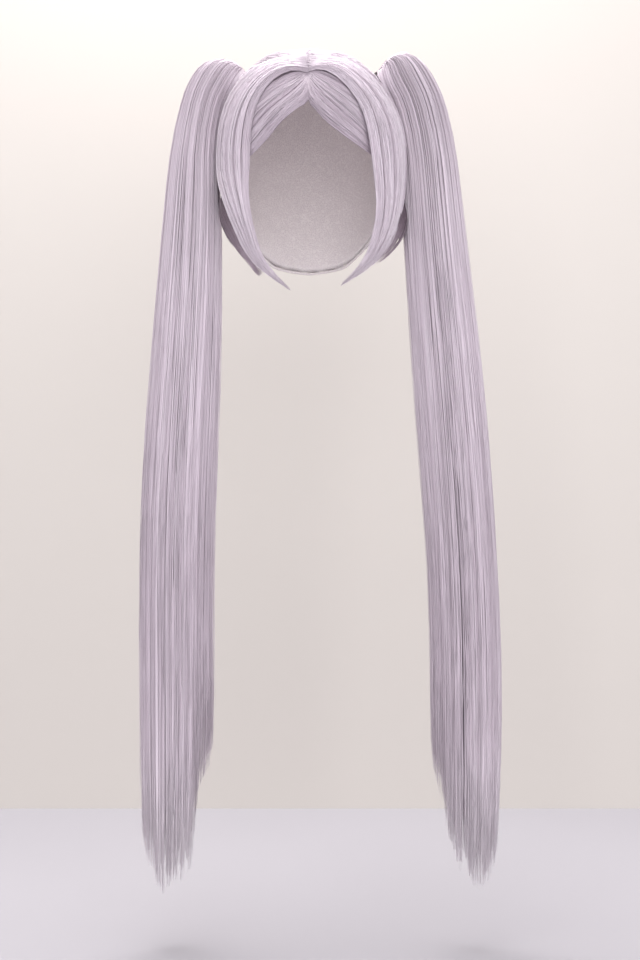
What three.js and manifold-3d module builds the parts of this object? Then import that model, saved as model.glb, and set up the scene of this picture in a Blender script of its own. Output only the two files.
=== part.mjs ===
// A pigtail wig: a fitted cap, hair drawn from a centre parting to two high ties, and two long pigtails.
// Millimetres, +Z up, the face opening towards -Y. Left is -X and right is +X, as seen from the front.
// The origin is inside the top of the cap, where the cap rests on the wearer's crown.

import * as THREE from 'three';
import { mergeVertices } from 'three/addons/utils/BufferGeometryUtils.js';
import Module from 'manifold-3d';

const wasm = await Module();
wasm.setup();

// The hollow of the cap, a rounded form about a centre that lies CROWN_RISE below the origin.
const HOLLOW_WIDTH = 152;
const FRONT_REACH = 92;
const BACK_REACH = 100;
const CROWN_RISE = 95;
const FACE_DROP = 150;
const HOLLOW_ROUNDNESS = 2.3;

// Thicknesses, and the clearances between layers and along the parting.
const CAP_WALL = 2;
const LAYER_GAP = 0.6;
const TOUCH_GAP = 0.3;
const PARTING_GAP = 1.2;
const UNDER_HAIR = 2.4;
const CROWN_HAIR = 6.4;
const NECK_HAIR = 9.2;
const SIDE_LOCK = 6;
const GROOVE_DEPTH = 1.1;
const GROOVE_SHARPNESS = 6;

// A strip thins to this share of its thickness over this share of its width at each edge.
const EDGE_SHARE = 0.33;
const EDGE_WIDTH = 0.14;

// No edge of a strip is thinner than this.
const LEAST_EDGE = 0.5;

// The drawn hair stays thin over this length from its roots, where the side lock covers it, then
// rises to full thickness, and thickens again as it gathers at the neck of the tie.
const ROOT_TUCK = 11;
const ROOT_RISE = 26;
const NECK_GATHER = 26;

// How far hair that hangs free below the cap stands off the line of the hollow.
const FREE_LIFT = 9;

// The two ties, each an elastic band round a gathered neck of hair. Angles in degrees.
const TIE_AROUND = 97;
const TIE_TILT = 42;
const NECK_RADIUS = 11.5;
const TIE_THICKNESS = 4.2;
const TIE_HEIGHT = 8;

// The pigtails, from the tie to the longest tip, and how far each one leans out below its tie.
const PIGTAIL_DROP = 780;
const PIGTAIL_WIDTH = 71.5;
const PIGTAIL_DEPTH = 52;
const LEFT_SPREAD = 57;
const RIGHT_SPREAD = 81;
const PIGTAIL_GROOVE = 0.09;
const PIGTAIL_STRIPS = 8;
const PIGTAIL_SHARPNESS = 4;

const LEFT = -1;
const RIGHT = 1;

// Heights above the hollow at which each layer starts.
const UNDER_LAYER = CAP_WALL + LAYER_GAP;
const UPPER_LAYER = UNDER_LAYER + UNDER_HAIR + LAYER_GAP;
const OUTER_LAYER = Math.max(UPPER_LAYER + SIDE_LOCK, UNDER_LAYER + NECK_HAIR) + LAYER_GAP;

// Places on the hollow are given in degrees: around from the face, and tilt from straight up.
// The lower edge of the cap: front hairline, temple, ear tab, behind the ear and nape.
const CAP_EDGE = [
  { around: 0, tilt: 66 },
  { around: 30, tilt: 80 },
  { around: 52, tilt: 98 },
  { around: 72, tilt: 109 },
  { around: 92, tilt: 110 },
  { around: 112, tilt: 113 },
  { around: 132, tilt: 127 },
  { around: 155, tilt: 136 },
  { around: 180, tilt: 138 },
];

// Where the crown hair is rooted: under the side lock, then along the parting from front to back.
// The thickness at the root is a share of the crown hair's full thickness.
const CROWN_ROOTS = [
  { around: 67, tilt: 65, thickness: 0.37 },
  { around: 50, tilt: 55, thickness: 0.37 },
  { around: 30, tilt: 47, thickness: 0.37 },
  { around: 0, tilt: 37, thickness: 0.4 },
  { around: 0, tilt: 18, thickness: 0.8 },
  { around: 180, tilt: 12, thickness: 0.85 },
  { around: 180, tilt: 42, thickness: 0.85 },
  { around: 180, tilt: 68, thickness: 0.8 },
];

// Where the back hair is rooted: down the back parting, along the nape and forward over the ear.
const BACK_ROOTS = [
  { around: 180, tilt: 70, thickness: 0.8 },
  { around: 180, tilt: 102, thickness: 0.6 },
  { around: 180, tilt: 135, thickness: 0.37 },
  { around: 155, tilt: 133, thickness: 0.37 },
  { around: 132, tilt: 124, thickness: 0.37 },
  { around: 112, tilt: 110, thickness: 0.37 },
  { around: 92, tilt: 99, thickness: 0.37 },
  { around: 79, tilt: 96, thickness: 0.37 },
  { around: 75, tilt: 81, thickness: 0.37 },
  { around: 68, tilt: 67, thickness: 0.37 },
];

// Each side lock, a row for each station from the parting to its tip near the chin. Thickness is a
// share of the strip's full thickness, lift a share of how far free hair stands off the hollow's form.
const LEFT_SIDE_LOCK = [
  { frontAround: 1, frontTilt: 53, backAround: 1, backTilt: 39, thickness: 0.5, lift: 0 },
  { frontAround: 10.5, frontTilt: 51.5, backAround: 31, backTilt: 43, thickness: 0.8, lift: 0 },
  { frontAround: 22, frontTilt: 57, backAround: 49, backTilt: 50, thickness: 1, lift: 0 },
  { frontAround: 30, frontTilt: 69, backAround: 67, backTilt: 60, thickness: 1, lift: 0 },
  { frontAround: 33.5, frontTilt: 86, backAround: 79, backTilt: 77, thickness: 1, lift: 0 },
  { frontAround: 34.5, frontTilt: 103, backAround: 82, backTilt: 96, thickness: 1, lift: 0 },
  { frontAround: 35, frontTilt: 119, backAround: 66, backTilt: 113, thickness: 0.95, lift: 0 },
  { frontAround: 33, frontTilt: 132, backAround: 53, backTilt: 128, thickness: 0.85, lift: 0 },
  { frontAround: 29, frontTilt: 143, backAround: 42, backTilt: 142, thickness: 0.7, lift: 0 },
  { frontAround: 20, frontTilt: 153, backAround: 24, backTilt: 154, thickness: 0.4, lift: 0 },
];
const RIGHT_SIDE_LOCK = [
  { frontAround: 1, frontTilt: 52, backAround: 1, backTilt: 37, thickness: 0.5, lift: 0 },
  { frontAround: 9.5, frontTilt: 51, backAround: 32, backTilt: 41, thickness: 0.8, lift: 0 },
  { frontAround: 20, frontTilt: 58, backAround: 49, backTilt: 49, thickness: 1, lift: 0 },
  { frontAround: 28, frontTilt: 71, backAround: 67, backTilt: 60, thickness: 1, lift: 0.15 },
  { frontAround: 31, frontTilt: 87, backAround: 79, backTilt: 76, thickness: 1, lift: 0.45 },
  { frontAround: 34, frontTilt: 103, backAround: 83, backTilt: 95, thickness: 1, lift: 0.5 },
  { frontAround: 38, frontTilt: 118, backAround: 82, backTilt: 113, thickness: 0.95, lift: 0.5 },
  { frontAround: 40, frontTilt: 130, backAround: 74, backTilt: 127, thickness: 0.85, lift: 0.45 },
  { frontAround: 37, frontTilt: 141, backAround: 59, backTilt: 140, thickness: 0.7, lift: 0.25 },
  { frontAround: 29, frontTilt: 151, backAround: 35, backTilt: 151, thickness: 0.4, lift: 0 },
];

// Each half of the fringe, from the parting out and down until it passes under the side lock.
const LEFT_FRINGE = [
  { frontAround: 1, frontTilt: 70, backAround: 1, backTilt: 44, thickness: 0.8, lift: 0 },
  { frontAround: 12, frontTilt: 79, backAround: 14, backTilt: 48, thickness: 1, lift: 0 },
  { frontAround: 22, frontTilt: 89.5, backAround: 29, backTilt: 57, thickness: 1, lift: 0 },
  { frontAround: 32, frontTilt: 96.5, backAround: 43, backTilt: 72, thickness: 0.9, lift: 0 },
  { frontAround: 47, frontTilt: 101, backAround: 56, backTilt: 90, thickness: 0.6, lift: 0 },
];
const RIGHT_FRINGE = [
  { frontAround: 1, frontTilt: 70, backAround: 1, backTilt: 44, thickness: 0.8, lift: 0 },
  { frontAround: 9, frontTilt: 80.5, backAround: 14, backTilt: 48, thickness: 1, lift: 0 },
  { frontAround: 19, frontTilt: 88, backAround: 28, backTilt: 57, thickness: 1, lift: 0 },
  { frontAround: 30, frontTilt: 93, backAround: 42, backTilt: 71, thickness: 0.9, lift: 0 },
  { frontAround: 46, frontTilt: 98, backAround: 55, backTilt: 87, thickness: 0.6, lift: 0 },
];

// The shaded hair below each ear, from the edge of the cap to its thin tips.
const LEFT_UNDER_WISP = [
  { frontAround: 62, frontTilt: 101, backAround: 96, backTilt: 103, thickness: 0.8, lift: 0 },
  { frontAround: 69, frontTilt: 112, backAround: 96, backTilt: 113, thickness: 1, lift: 0.2 },
  { frontAround: 65, frontTilt: 122, backAround: 92, backTilt: 125, thickness: 1, lift: 0.7 },
  { frontAround: 59, frontTilt: 132, backAround: 82, backTilt: 136, thickness: 0.8, lift: 1 },
  { frontAround: 49, frontTilt: 146, backAround: 57, backTilt: 148, thickness: 0.4, lift: 0.5 },
];
const RIGHT_UNDER_WISP = [
  { frontAround: 62, frontTilt: 101, backAround: 97, backTilt: 103, thickness: 0.8, lift: 0 },
  { frontAround: 85, frontTilt: 112, backAround: 100, backTilt: 114, thickness: 1, lift: 0.3 },
  { frontAround: 87, frontTilt: 120, backAround: 102, backTilt: 123, thickness: 1, lift: 0.9 },
  { frontAround: 84, frontTilt: 129, backAround: 100, backTilt: 131, thickness: 0.8, lift: 1.4 },
  { frontAround: 76, frontTilt: 140, backAround: 90, backTilt: 138, thickness: 0.4, lift: 1.3 },
];

// The run of each pigtail beyond its tie: down and out are shares of its drop and its spread,
// width and depth shares of its full width and depth.
const LEFT_RUN = [
  { down: -0.01, out: 0.2, width: 0.4, depth: 0.55 },
  { down: -0.013, out: 0.35, width: 0.46, depth: 0.64 },
  { down: 0.004, out: 0.5, width: 0.52, depth: 0.72 },
  { down: 0.031, out: 0.565, width: 0.6, depth: 0.79 },
  { down: 0.063, out: 0.63, width: 0.69, depth: 0.85 },
  { down: 0.097, out: 0.67, width: 0.714, depth: 0.9 },
  { down: 0.154, out: 0.683, width: 0.764, depth: 0.94 },
  { down: 0.206, out: 0.705, width: 0.829, depth: 0.97 },
  { down: 0.283, out: 0.761, width: 0.89, depth: 1 },
  { down: 0.385, out: 0.841, width: 0.95, depth: 1 },
  { down: 0.488, out: 0.938, width: 0.993, depth: 1 },
  { down: 0.59, out: 0.97, width: 0.98, depth: 0.98 },
  { down: 0.693, out: 0.978, width: 0.98, depth: 0.94 },
  { down: 0.783, out: 0.966, width: 1.01, depth: 0.88 },
  { down: 0.84, out: 1.03, width: 0.83, depth: 0.8 },
  { down: 0.9, out: 1.06, width: 0.68, depth: 0.66 },
  { down: 0.94, out: 1.06, width: 0.5, depth: 0.45 },
];
const RIGHT_RUN = [
  { down: -0.013, out: 0.14, width: 0.42, depth: 0.55 },
  { down: -0.02, out: 0.27, width: 0.49, depth: 0.64 },
  { down: -0.003, out: 0.39, width: 0.56, depth: 0.72 },
  { down: 0.022, out: 0.455, width: 0.63, depth: 0.79 },
  { down: 0.055, out: 0.5, width: 0.71, depth: 0.85 },
  { down: 0.097, out: 0.53, width: 0.75, depth: 0.9 },
  { down: 0.154, out: 0.58, width: 0.821, depth: 0.94 },
  { down: 0.206, out: 0.62, width: 0.843, depth: 0.97 },
  { down: 0.283, out: 0.702, width: 0.904, depth: 1 },
  { down: 0.385, out: 0.786, width: 0.957, depth: 1 },
  { down: 0.488, out: 0.867, width: 0.95, depth: 1 },
  { down: 0.59, out: 0.944, width: 0.93, depth: 0.98 },
  { down: 0.693, out: 0.98, width: 0.95, depth: 0.94 },
  { down: 0.783, out: 0.989, width: 0.985, depth: 0.88 },
  { down: 0.84, out: 1.016, width: 0.82, depth: 0.8 },
  { down: 0.9, out: 1.055, width: 0.67, depth: 0.66 },
  { down: 0.94, out: 1.055, width: 0.5, depth: 0.45 },
];

// The part of a pigtail that drops straight from its tie beside the head and joins the rest below.
// Down and out are shares of the pigtail's full width, width and depth of its half width.
const ROOT_FALL = [
  { down: -0.04, out: 0.16, width: 0.26, depth: 0.3 },
  { down: 0.17, out: 0.19, width: 0.34, depth: 0.44 },
  { down: 0.5, out: 0.25, width: 0.36, depth: 0.52 },
  { down: 1, out: 0.36, width: 0.38, depth: 0.58 },
  { down: 1.7, out: 0.48, width: 0.32, depth: 0.5 },
];

// The loose ends of each pigtail: across and deep are shares of its half width and half depth,
// across positive away from the head; thick is a share of the half width, end a share of the drop.
const LEFT_ENDS = [
  { across: -1.02, deep: 0.1, thick: 0.2, end: 0.848 },
  { across: -0.8, deep: -0.25, thick: 0.24, end: 0.876 },
  { across: -0.56, deep: 0.3, thick: 0.26, end: 0.992 },
  { across: -0.35, deep: -0.32, thick: 0.26, end: 0.956 },
  { across: -0.12, deep: 0.26, thick: 0.26, end: 1 },
  { across: 0.1, deep: -0.32, thick: 0.26, end: 0.968 },
  { across: 0.3, deep: 0.26, thick: 0.25, end: 0.978 },
  { across: 0.48, deep: -0.2, thick: 0.23, end: 0.95 },
  { across: 0.62, deep: 0.05, thick: 0.2, end: 0.935 },
];
const RIGHT_ENDS = [
  { across: -1, deep: 0.08, thick: 0.19, end: 0.85 },
  { across: -0.78, deep: -0.25, thick: 0.23, end: 0.885 },
  { across: -0.58, deep: 0.28, thick: 0.24, end: 0.93 },
  { across: -0.36, deep: -0.32, thick: 0.25, end: 0.972 },
  { across: -0.13, deep: 0.28, thick: 0.26, end: 0.96 },
  { across: 0.1, deep: -0.32, thick: 0.26, end: 0.985 },
  { across: 0.31, deep: 0.26, thick: 0.25, end: 1 },
  { across: 0.5, deep: -0.2, thick: 0.23, end: 0.975 },
  { across: 0.62, deep: 0.05, thick: 0.19, end: 0.925 },
];

// The start of a pigtail's body, a little inside its neck, as a share of the neck's radius.
const ROOT_SHARE = 0.9;

// Where the loose ends leave the pigtail's body, as a share of its drop, and how the tips narrow.
const ENDS_START = 0.78;
const TIP_SPREAD = 0.96;
const TIP_BLUNTNESS = 2.4;
const TIP_SHARE = 0.08;
const ENDS_DEPTH_START = 0.8;
const ENDS_DEPTH_TIP = 0.5;

// Facets: stations along and steps across each kind of piece.
const CAP_STEPS_AROUND = 30;
const CAP_STEPS_DOWN = 6;
const FORM_STEPS_DOWN = 14;
const STEPS_PER_STRIP = 3;
const FAN_STRIPS = 6;
const FAN_STEPS_ALONG = 10;
const SIDE_LOCK_FACETS = { strips: 4, stations: 13 };
const FRINGE_FACETS = { strips: 4, stations: 6 };
const WISP_FACETS = { strips: 3, stations: 7 };
const HEADING_STEP = 0.01;
const BAND_SIDES = 8;
const BAND_STEPS = 18;
const PIGTAIL_STATIONS = 16;
const END_STATIONS = 4;
const END_SIDES = 5;

// Finishes.
const HAIR = { color: 0xc4b8c8, roughness: 0.42, metalness: 0 };
const SHADED_HAIR = { color: 0x8f7f86, roughness: 0.55, metalness: 0 };
const NET = { color: 0xb7abb4, roughness: 0.85, metalness: 0 };
const ELASTIC = { color: 0x2e2629, roughness: 0.8, metalness: 0 };

const radians = THREE.MathUtils.degToRad;
const mix = THREE.MathUtils.lerp;
const FORM_CENTRE = new THREE.Vector3(0, 0, -CROWN_RISE);
const BACKWARDS = new THREE.Vector3(0, 1, 0);

// A unit direction from the centre of the hollow, on the given side of the face.
function towards(side, around, tilt) {
  const turn = radians(around);
  const lean = radians(tilt);
  const level = Math.sin(lean);
  return new THREE.Vector3(side * level * Math.sin(turn), -level * Math.cos(turn), Math.cos(lean));
}

// The point in that direction that lies a given height outside the hollow.
function above(direction, height) {
  const across = HOLLOW_WIDTH / 2 + height;
  const along = (direction.y < 0 ? FRONT_REACH : BACK_REACH) + height;
  const upright = (direction.z > 0 ? CROWN_RISE : FACE_DROP) + height;
  const shares = [direction.x / across, direction.y / along, direction.z / upright];
  const total = shares.reduce((sum, share) => sum + Math.abs(share) ** HOLLOW_ROUNDNESS, 0);
  return direction.clone().multiplyScalar(total ** (-1 / HOLLOW_ROUNDNESS)).add(FORM_CENTRE);
}

// How far a flat facet dips below a round form between two points an angle apart.
function dip(reach, angle) {
  return reach * (1 - Math.cos(angle / 2));
}

// A value of a table's column at a share of the way through its rows, on a smooth curve.
function column(rows, name, share) {
  const place = share * (rows.length - 1);
  const row = Math.min(Math.floor(place), rows.length - 2);
  const value = (index) => rows[THREE.MathUtils.clamp(index, 0, rows.length - 1)][name];
  const part = place - row;
  const slopeIn = (value(row + 1) - value(row - 1)) / 2;
  const slopeOut = (value(row + 2) - value(row)) / 2;
  const rise = value(row + 1) - value(row);
  const bend = 3 * rise - 2 * slopeIn - slopeOut;
  const turn = slopeIn + slopeOut - 2 * rise;
  return value(row) + part * (slopeIn + part * (bend + part * turn));
}

// A closed body through sections of one count of points. In each end section, point i faces
// point count - 1 - i, so that the end is closed by a ladder between them.
function loft(sections) {
  const count = sections[0].length;
  const last = (sections.length - 1) * count;
  const faces = [];
  for (let start = 0; start < last; start += count) {
    for (let step = 0; step < count; step++) {
      const near = start + step;
      const next = start + ((step + 1) % count);
      faces.push([near, next, next + count], [near, next + count, near + count]);
    }
  }
  for (let step = 0; step + 1 < count / 2; step++) {
    const facing = count - 1 - step;
    faces.push([step, facing, step + 1], [facing, facing - 1, step + 1]);
    faces.push([last + step, last + step + 1, last + facing]);
    faces.push([last + facing, last + step + 1, last + facing - 1]);
  }
  return bodyOf(sections.flat(), faces);
}

// A solid from points and faces: doubled points are merged, flat faces dropped, all faces outward.
function bodyOf(points, faces) {
  const geometry = new THREE.BufferGeometry().setFromPoints(points);
  geometry.setIndex(faces.flat());
  const merged = mergeVertices(geometry, 1e-3);
  const places = merged.getAttribute('position');
  const corner = (index) => new THREE.Vector3().fromBufferAttribute(places, index);
  const kept = [];
  let volume = 0;
  for (let start = 0; start < merged.index.count; start += 3) {
    const [a, b, c] = [0, 1, 2].map((step) => merged.index.getX(start + step));
    if (a !== b && b !== c && c !== a) {
      kept.push([a, b, c]);
      volume += corner(a).cross(corner(b)).dot(corner(c));
    }
  }
  const outward = volume > 0 ? kept : kept.map(([a, b, c]) => [a, c, b]);
  return new wasm.Manifold(new wasm.Mesh({
    numProp: 3,
    vertProperties: new Float32Array(places.array),
    triVerts: new Uint32Array(outward.flat()),
  }));
}

function named(name, solid, finish) {
  const { vertProperties, triVerts } = solid.getMesh();
  const geometry = new THREE.BufferGeometry();
  geometry.setAttribute('position', new THREE.BufferAttribute(vertProperties, 3));
  geometry.setIndex(new THREE.BufferAttribute(triVerts, 1));
  geometry.computeVertexNormals();
  const mesh = new THREE.Mesh(geometry, new THREE.MeshStandardMaterial(finish));
  mesh.name = name;
  return mesh;
}

// One ring of points at a height above the hollow, a share of the way from the top to the edge.
function capRing(height, share, edgeTilt) {
  const ring = [];
  for (let step = 0; step < CAP_STEPS_AROUND; step++) {
    const turn = (360 * step) / CAP_STEPS_AROUND;
    const side = turn > 180 ? LEFT : RIGHT;
    const around = turn > 180 ? 360 - turn : turn;
    ring.push(above(towards(side, around, share * edgeTilt(around)), height));
  }
  return ring;
}

function tiltOfCapEdge(around) {
  const after = CAP_EDGE.findIndex((row) => row.around >= around);
  const high = CAP_EDGE[Math.max(after, 1)];
  const low = CAP_EDGE[Math.max(after, 1) - 1];
  return mix(low.tilt, high.tilt, (around - low.around) / (high.around - low.around));
}

// The cap: an open shell whose edge follows the hairline, the ears and the nape.
function cap() {
  const rings = [];
  for (let step = 0; step <= CAP_STEPS_DOWN; step++) {
    rings.push(capRing(CAP_WALL, step / CAP_STEPS_DOWN, tiltOfCapEdge));
  }
  for (let step = CAP_STEPS_DOWN; step >= 0; step--) {
    rings.push(capRing(0, step / CAP_STEPS_DOWN, tiltOfCapEdge));
  }
  return loft(rings);
}

// The whole rounded form out to a height, used to keep the pigtails clear of the hair on the cap.
function grownForm(height) {
  const rings = [];
  for (let step = 0; step <= FORM_STEPS_DOWN; step++) {
    rings.push(capRing(height, step / FORM_STEPS_DOWN, () => 180));
  }
  return loft(rings);
}

// How deep the groove between two strips is at a share of the way across: 1 at each join.
function grooveAt(share, strips) {
  return Math.abs(Math.cos(Math.PI * strips * share)) ** GROOVE_SHARPNESS;
}

// How thick a strip is across its width: full in the middle, thin at its edges, with grooves.
function ridged(share, full, strips) {
  const fromEdge = Math.min(share, 1 - share) / EDGE_WIDTH;
  const edge = mix(EDGE_SHARE, 1, Math.min(fromEdge, 1));
  return Math.max(full * edge - grooveAt(share, strips) * GROOVE_DEPTH, full * EDGE_SHARE);
}

// The direction of a place on a strip: along its length and a share of the way from front to back.
function stripDirection(side, rows, along, share) {
  const around = mix(column(rows, 'frontAround', along), column(rows, 'backAround', along), share);
  const tilt = mix(column(rows, 'frontTilt', along), column(rows, 'backTilt', along), share);
  return towards(side, around, tilt);
}

// A curved strip of hair lying over the hollow, between the front and back edges of its table.
function strip(side, rows, base, full, { strips, stations }) {
  const across = strips * STEPS_PER_STRIP;
  const sections = [];
  for (let station = 0; station <= stations; station++) {
    const along = station / stations;
    const beside = (station + (station < stations ? 1 : -1)) / stations;
    const outer = [];
    const inner = [];
    for (let step = 0; step <= across; step++) {
      const share = step / across;
      const direction = stripDirection(side, rows, along, share);
      const turn = direction.angleTo(stripDirection(side, rows, beside, share));
      const thickness = ridged(share, full * column(rows, 'thickness', along), strips);
      const foot = base + FREE_LIFT * Math.max(column(rows, 'lift', along), 0);
      const underside = foot + dip(FACE_DROP, turn);
      outer.push(above(direction, Math.max(foot + thickness, underside + LEAST_EDGE)));
      inner.unshift(above(direction, underside));
    }
    sections.push([...outer, ...inner]);
  }
  return loft(sections);
}

// One half of the fringe, which lies on the cap under the side lock.
function fringe(side, rows) {
  return strip(side, rows, UNDER_LAYER, UNDER_HAIR, FRINGE_FACETS);
}

// A long lock from the parting past the ear to the chin, over the fringe.
function sideLock(side, rows) {
  return strip(side, rows, UPPER_LAYER, SIDE_LOCK, SIDE_LOCK_FACETS);
}

// The thin hair below an ear, behind the side lock.
function underWisp(side, rows) {
  return strip(side, rows, UNDER_LAYER, UNDER_HAIR, WISP_FACETS);
}

function tieDirection(side) {
  return towards(side, TIE_AROUND, TIE_TILT);
}

// The direction in which a tie's neck of hair leaves the cap, square to the rounded form there.
function tieAxis(side) {
  const seat = above(tieDirection(side), UNDER_LAYER).sub(FORM_CENTRE);
  const reaches = [HOLLOW_WIDTH / 2, BACK_REACH, CROWN_RISE].map((reach) => reach + UNDER_LAYER);
  const slope = seat.toArray().map((value, index) => {
    const share = Math.abs(value / reaches[index]) ** (HOLLOW_ROUNDNESS - 1);
    return (Math.sign(value) * share) / reaches[index];
  });
  return new THREE.Vector3(...slope).normalize();
}

// The middle of a tie, just above the hair that rises to it.
function tieCentre(side) {
  const lift = NECK_HAIR + LAYER_GAP + TIE_HEIGHT / 2;
  return above(tieDirection(side), UNDER_LAYER).addScaledVector(tieAxis(side), lift);
}

// A root direction from its table row, moved off the middle by half the parting's gap.
function rootDirection(side, roots, share) {
  const place = share * (roots.length - 1);
  const row = Math.min(Math.floor(place), roots.length - 2);
  const low = towards(side, roots[row].around, roots[row].tilt);
  const high = towards(side, roots[row + 1].around, roots[row + 1].tilt);
  const direction = low.lerp(high, place - row).normalize();
  const margin = PARTING_GAP / 2 / above(direction, UNDER_LAYER).distanceTo(FORM_CENTRE);
  direction.x = side * Math.max(side * direction.x, margin);
  return direction.normalize();
}

// Where the drawn hair opens for a neck: the neck's direction half way up the hair, and the angle
// of the opening, which allows for the neck's lean.
function neckOpening(side) {
  const foot = above(tieDirection(side), UNDER_LAYER);
  const middle = foot.clone().addScaledVector(tieAxis(side), NECK_HAIR / 2).sub(FORM_CENTRE);
  const seat = foot.distanceTo(FORM_CENTRE);
  const drift = (NECK_HAIR / 2) * Math.sin(middle.angleTo(tieAxis(side)));
  return {
    direction: middle.normalize(),
    seat,
    angle: Math.atan((NECK_RADIUS + TOUCH_GAP + drift) / seat),
  };
}

// How thick the drawn hair is, at a length from its root and from the neck that it runs to.
function fanThickness(start, fromRoot, fromNeck) {
  const rise = THREE.MathUtils.smoothstep(fromRoot, ROOT_TUCK, ROOT_TUCK + ROOT_RISE);
  const gather = 1 - THREE.MathUtils.smoothstep(fromNeck, 0, NECK_GATHER);
  const free = THREE.MathUtils.smoothstep(fromRoot, ROOT_TUCK, ROOT_TUCK + ROOT_RISE / 3);
  return mix(mix(start, CROWN_HAIR, rise), NECK_HAIR, gather * free);
}

// Hair drawn from a line of roots to the neck of a tie, with a groove between its strips.
function fan(side, roots) {
  const neck = neckOpening(side);
  const across = FAN_STRIPS * STEPS_PER_STRIP;
  const sections = [];
  for (let step = 0; step <= across; step++) {
    const share = step / across;
    const root = rootDirection(side, roots, share);
    const start = column(roots, 'thickness', share) * CROWN_HAIR;
    const beside = rootDirection(side, roots, (step < across ? step + 1 : step - 1) / across);
    const axis = new THREE.Vector3().crossVectors(neck.direction, root).normalize();
    const sweep = neck.direction.angleTo(root);
    const length = neck.seat * (sweep - neck.angle);
    const rise = dip(neck.seat, sweep / FAN_STEPS_ALONG) + dip(neck.seat, root.angleTo(beside));
    const outer = [];
    const inner = [];
    for (let station = 0; station <= FAN_STEPS_ALONG; station++) {
      const along = station / FAN_STEPS_ALONG;
      const direction = neck.direction.clone().applyAxisAngle(axis, mix(sweep, neck.angle, along));
      const cut = grooveAt(share, FAN_STRIPS) * GROOVE_DEPTH * Math.sin(Math.PI * along);
      const thickness = fanThickness(start, length * along, length * (1 - along)) - cut;
      outer.push(above(direction, UNDER_LAYER + thickness));
      inner.unshift(above(direction, UNDER_LAYER + rise));
    }
    sections.push([...outer, ...inner]);
  }
  return loft(sections);
}

// A profile turned about a tie's axis: x runs out from the axis and y along it, from the tie's middle.
function turnedAtTie(side, profile) {
  const geometry = new THREE.LatheGeometry(profile, BAND_STEPS);
  const upright = new THREE.Vector3(0, 1, 0);
  const turned = new THREE.Quaternion().setFromUnitVectors(upright, tieAxis(side));
  geometry.applyQuaternion(turned);
  geometry.translate(...tieCentre(side).toArray());
  const places = geometry.getAttribute('position');
  const points = [];
  for (let index = 0; index < places.count; index++) {
    points.push(new THREE.Vector3().fromBufferAttribute(places, index));
  }
  const faces = [];
  for (let start = 0; start < geometry.index.count; start += 3) {
    faces.push([0, 1, 2].map((step) => geometry.index.getX(start + step)));
  }
  return bodyOf(points, faces);
}

// The elastic band round a neck, of a closed rounded profile.
function hairTie(side) {
  const middle = NECK_RADIUS + TOUCH_GAP + TIE_THICKNESS / 2;
  const profile = [];
  for (let step = 0; step <= BAND_SIDES; step++) {
    const turn = (-2 * Math.PI * step) / BAND_SIDES;
    const radius = middle + (TIE_THICKNESS / 2) * Math.cos(turn);
    profile.push(new THREE.Vector2(radius, (TIE_HEIGHT / 2) * Math.sin(turn)));
  }
  return turnedAtTie(side, profile);
}

// The room that a band takes in the hair round it, a solid disc with a clearance.
function tieRoom(side) {
  const reach = NECK_RADIUS + TIE_THICKNESS + 2 * TOUCH_GAP;
  const half = TIE_HEIGHT / 2 + TOUCH_GAP;
  const corners = [[0, -half], [reach, -half], [reach, half], [0, half]];
  return turnedAtTie(side, corners.map(([x, y]) => new THREE.Vector2(x, y)));
}

// The middle, half width and half depth of a pigtail beyond its tie, at a share of its run.
function pigtailPlace(side, rows, spread, share) {
  const centre = tieCentre(side);
  const out = column(rows, 'out', share) * spread;
  const down = column(rows, 'down', share) * PIGTAIL_DROP;
  return {
    middle: new THREE.Vector3(centre.x + side * out, centre.y, centre.z - down),
    width: (column(rows, 'width', share) * PIGTAIL_WIDTH) / 2,
    depth: (column(rows, 'depth', share) * PIGTAIL_DEPTH) / 2,
  };
}

// A grooved section round a middle point, square to the direction of the hair.
function pigtailSection(middle, width, depth, heading) {
  const outward = new THREE.Vector3().crossVectors(heading, BACKWARDS).normalize();
  const count = PIGTAIL_STRIPS * STEPS_PER_STRIP;
  const ring = [];
  for (let step = 0; step < count; step++) {
    const turn = (2 * Math.PI * step) / count;
    const groove = Math.sin((PIGTAIL_STRIPS * turn) / 2) ** PIGTAIL_SHARPNESS;
    const reach = 1 - PIGTAIL_GROOVE * groove;
    const point = middle.clone().addScaledVector(outward, width * reach * Math.cos(turn));
    ring.push(point.addScaledVector(BACKWARDS, depth * reach * Math.sin(turn)));
  }
  return ring;
}

// The gathered neck of a pigtail, from just above the cap through its band.
function pigtailNeck(side) {
  const axis = tieAxis(side);
  const foot = above(tieDirection(side), UNDER_LAYER).addScaledVector(axis, TOUCH_GAP);
  const top = tieCentre(side).addScaledVector(axis, TIE_HEIGHT);
  return loft([foot, top].map((place) => pigtailSection(place, NECK_RADIUS, NECK_RADIUS, axis)));
}

// The body of a pigtail, arching over from its tie and hanging down to where its ends part.
function pigtailBody(side, rows, spread) {
  const axis = tieAxis(side);
  const start = tieCentre(side).addScaledVector(axis, TIE_HEIGHT / 2 + TOUCH_GAP * 2);
  const root = NECK_RADIUS * ROOT_SHARE;
  const sections = [pigtailSection(start, root, root, axis)];
  for (let station = 0; station <= PIGTAIL_STATIONS; station++) {
    const share = station / PIGTAIL_STATIONS;
    const place = pigtailPlace(side, rows, spread, share);
    const before = pigtailPlace(side, rows, spread, Math.max(share - HEADING_STEP, 0));
    const after = pigtailPlace(side, rows, spread, Math.min(share + HEADING_STEP, 1));
    const heading = after.middle.clone().sub(before.middle).normalize();
    sections.push(pigtailSection(place.middle, place.width, place.depth, heading));
  }
  return loft(sections);
}

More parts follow.
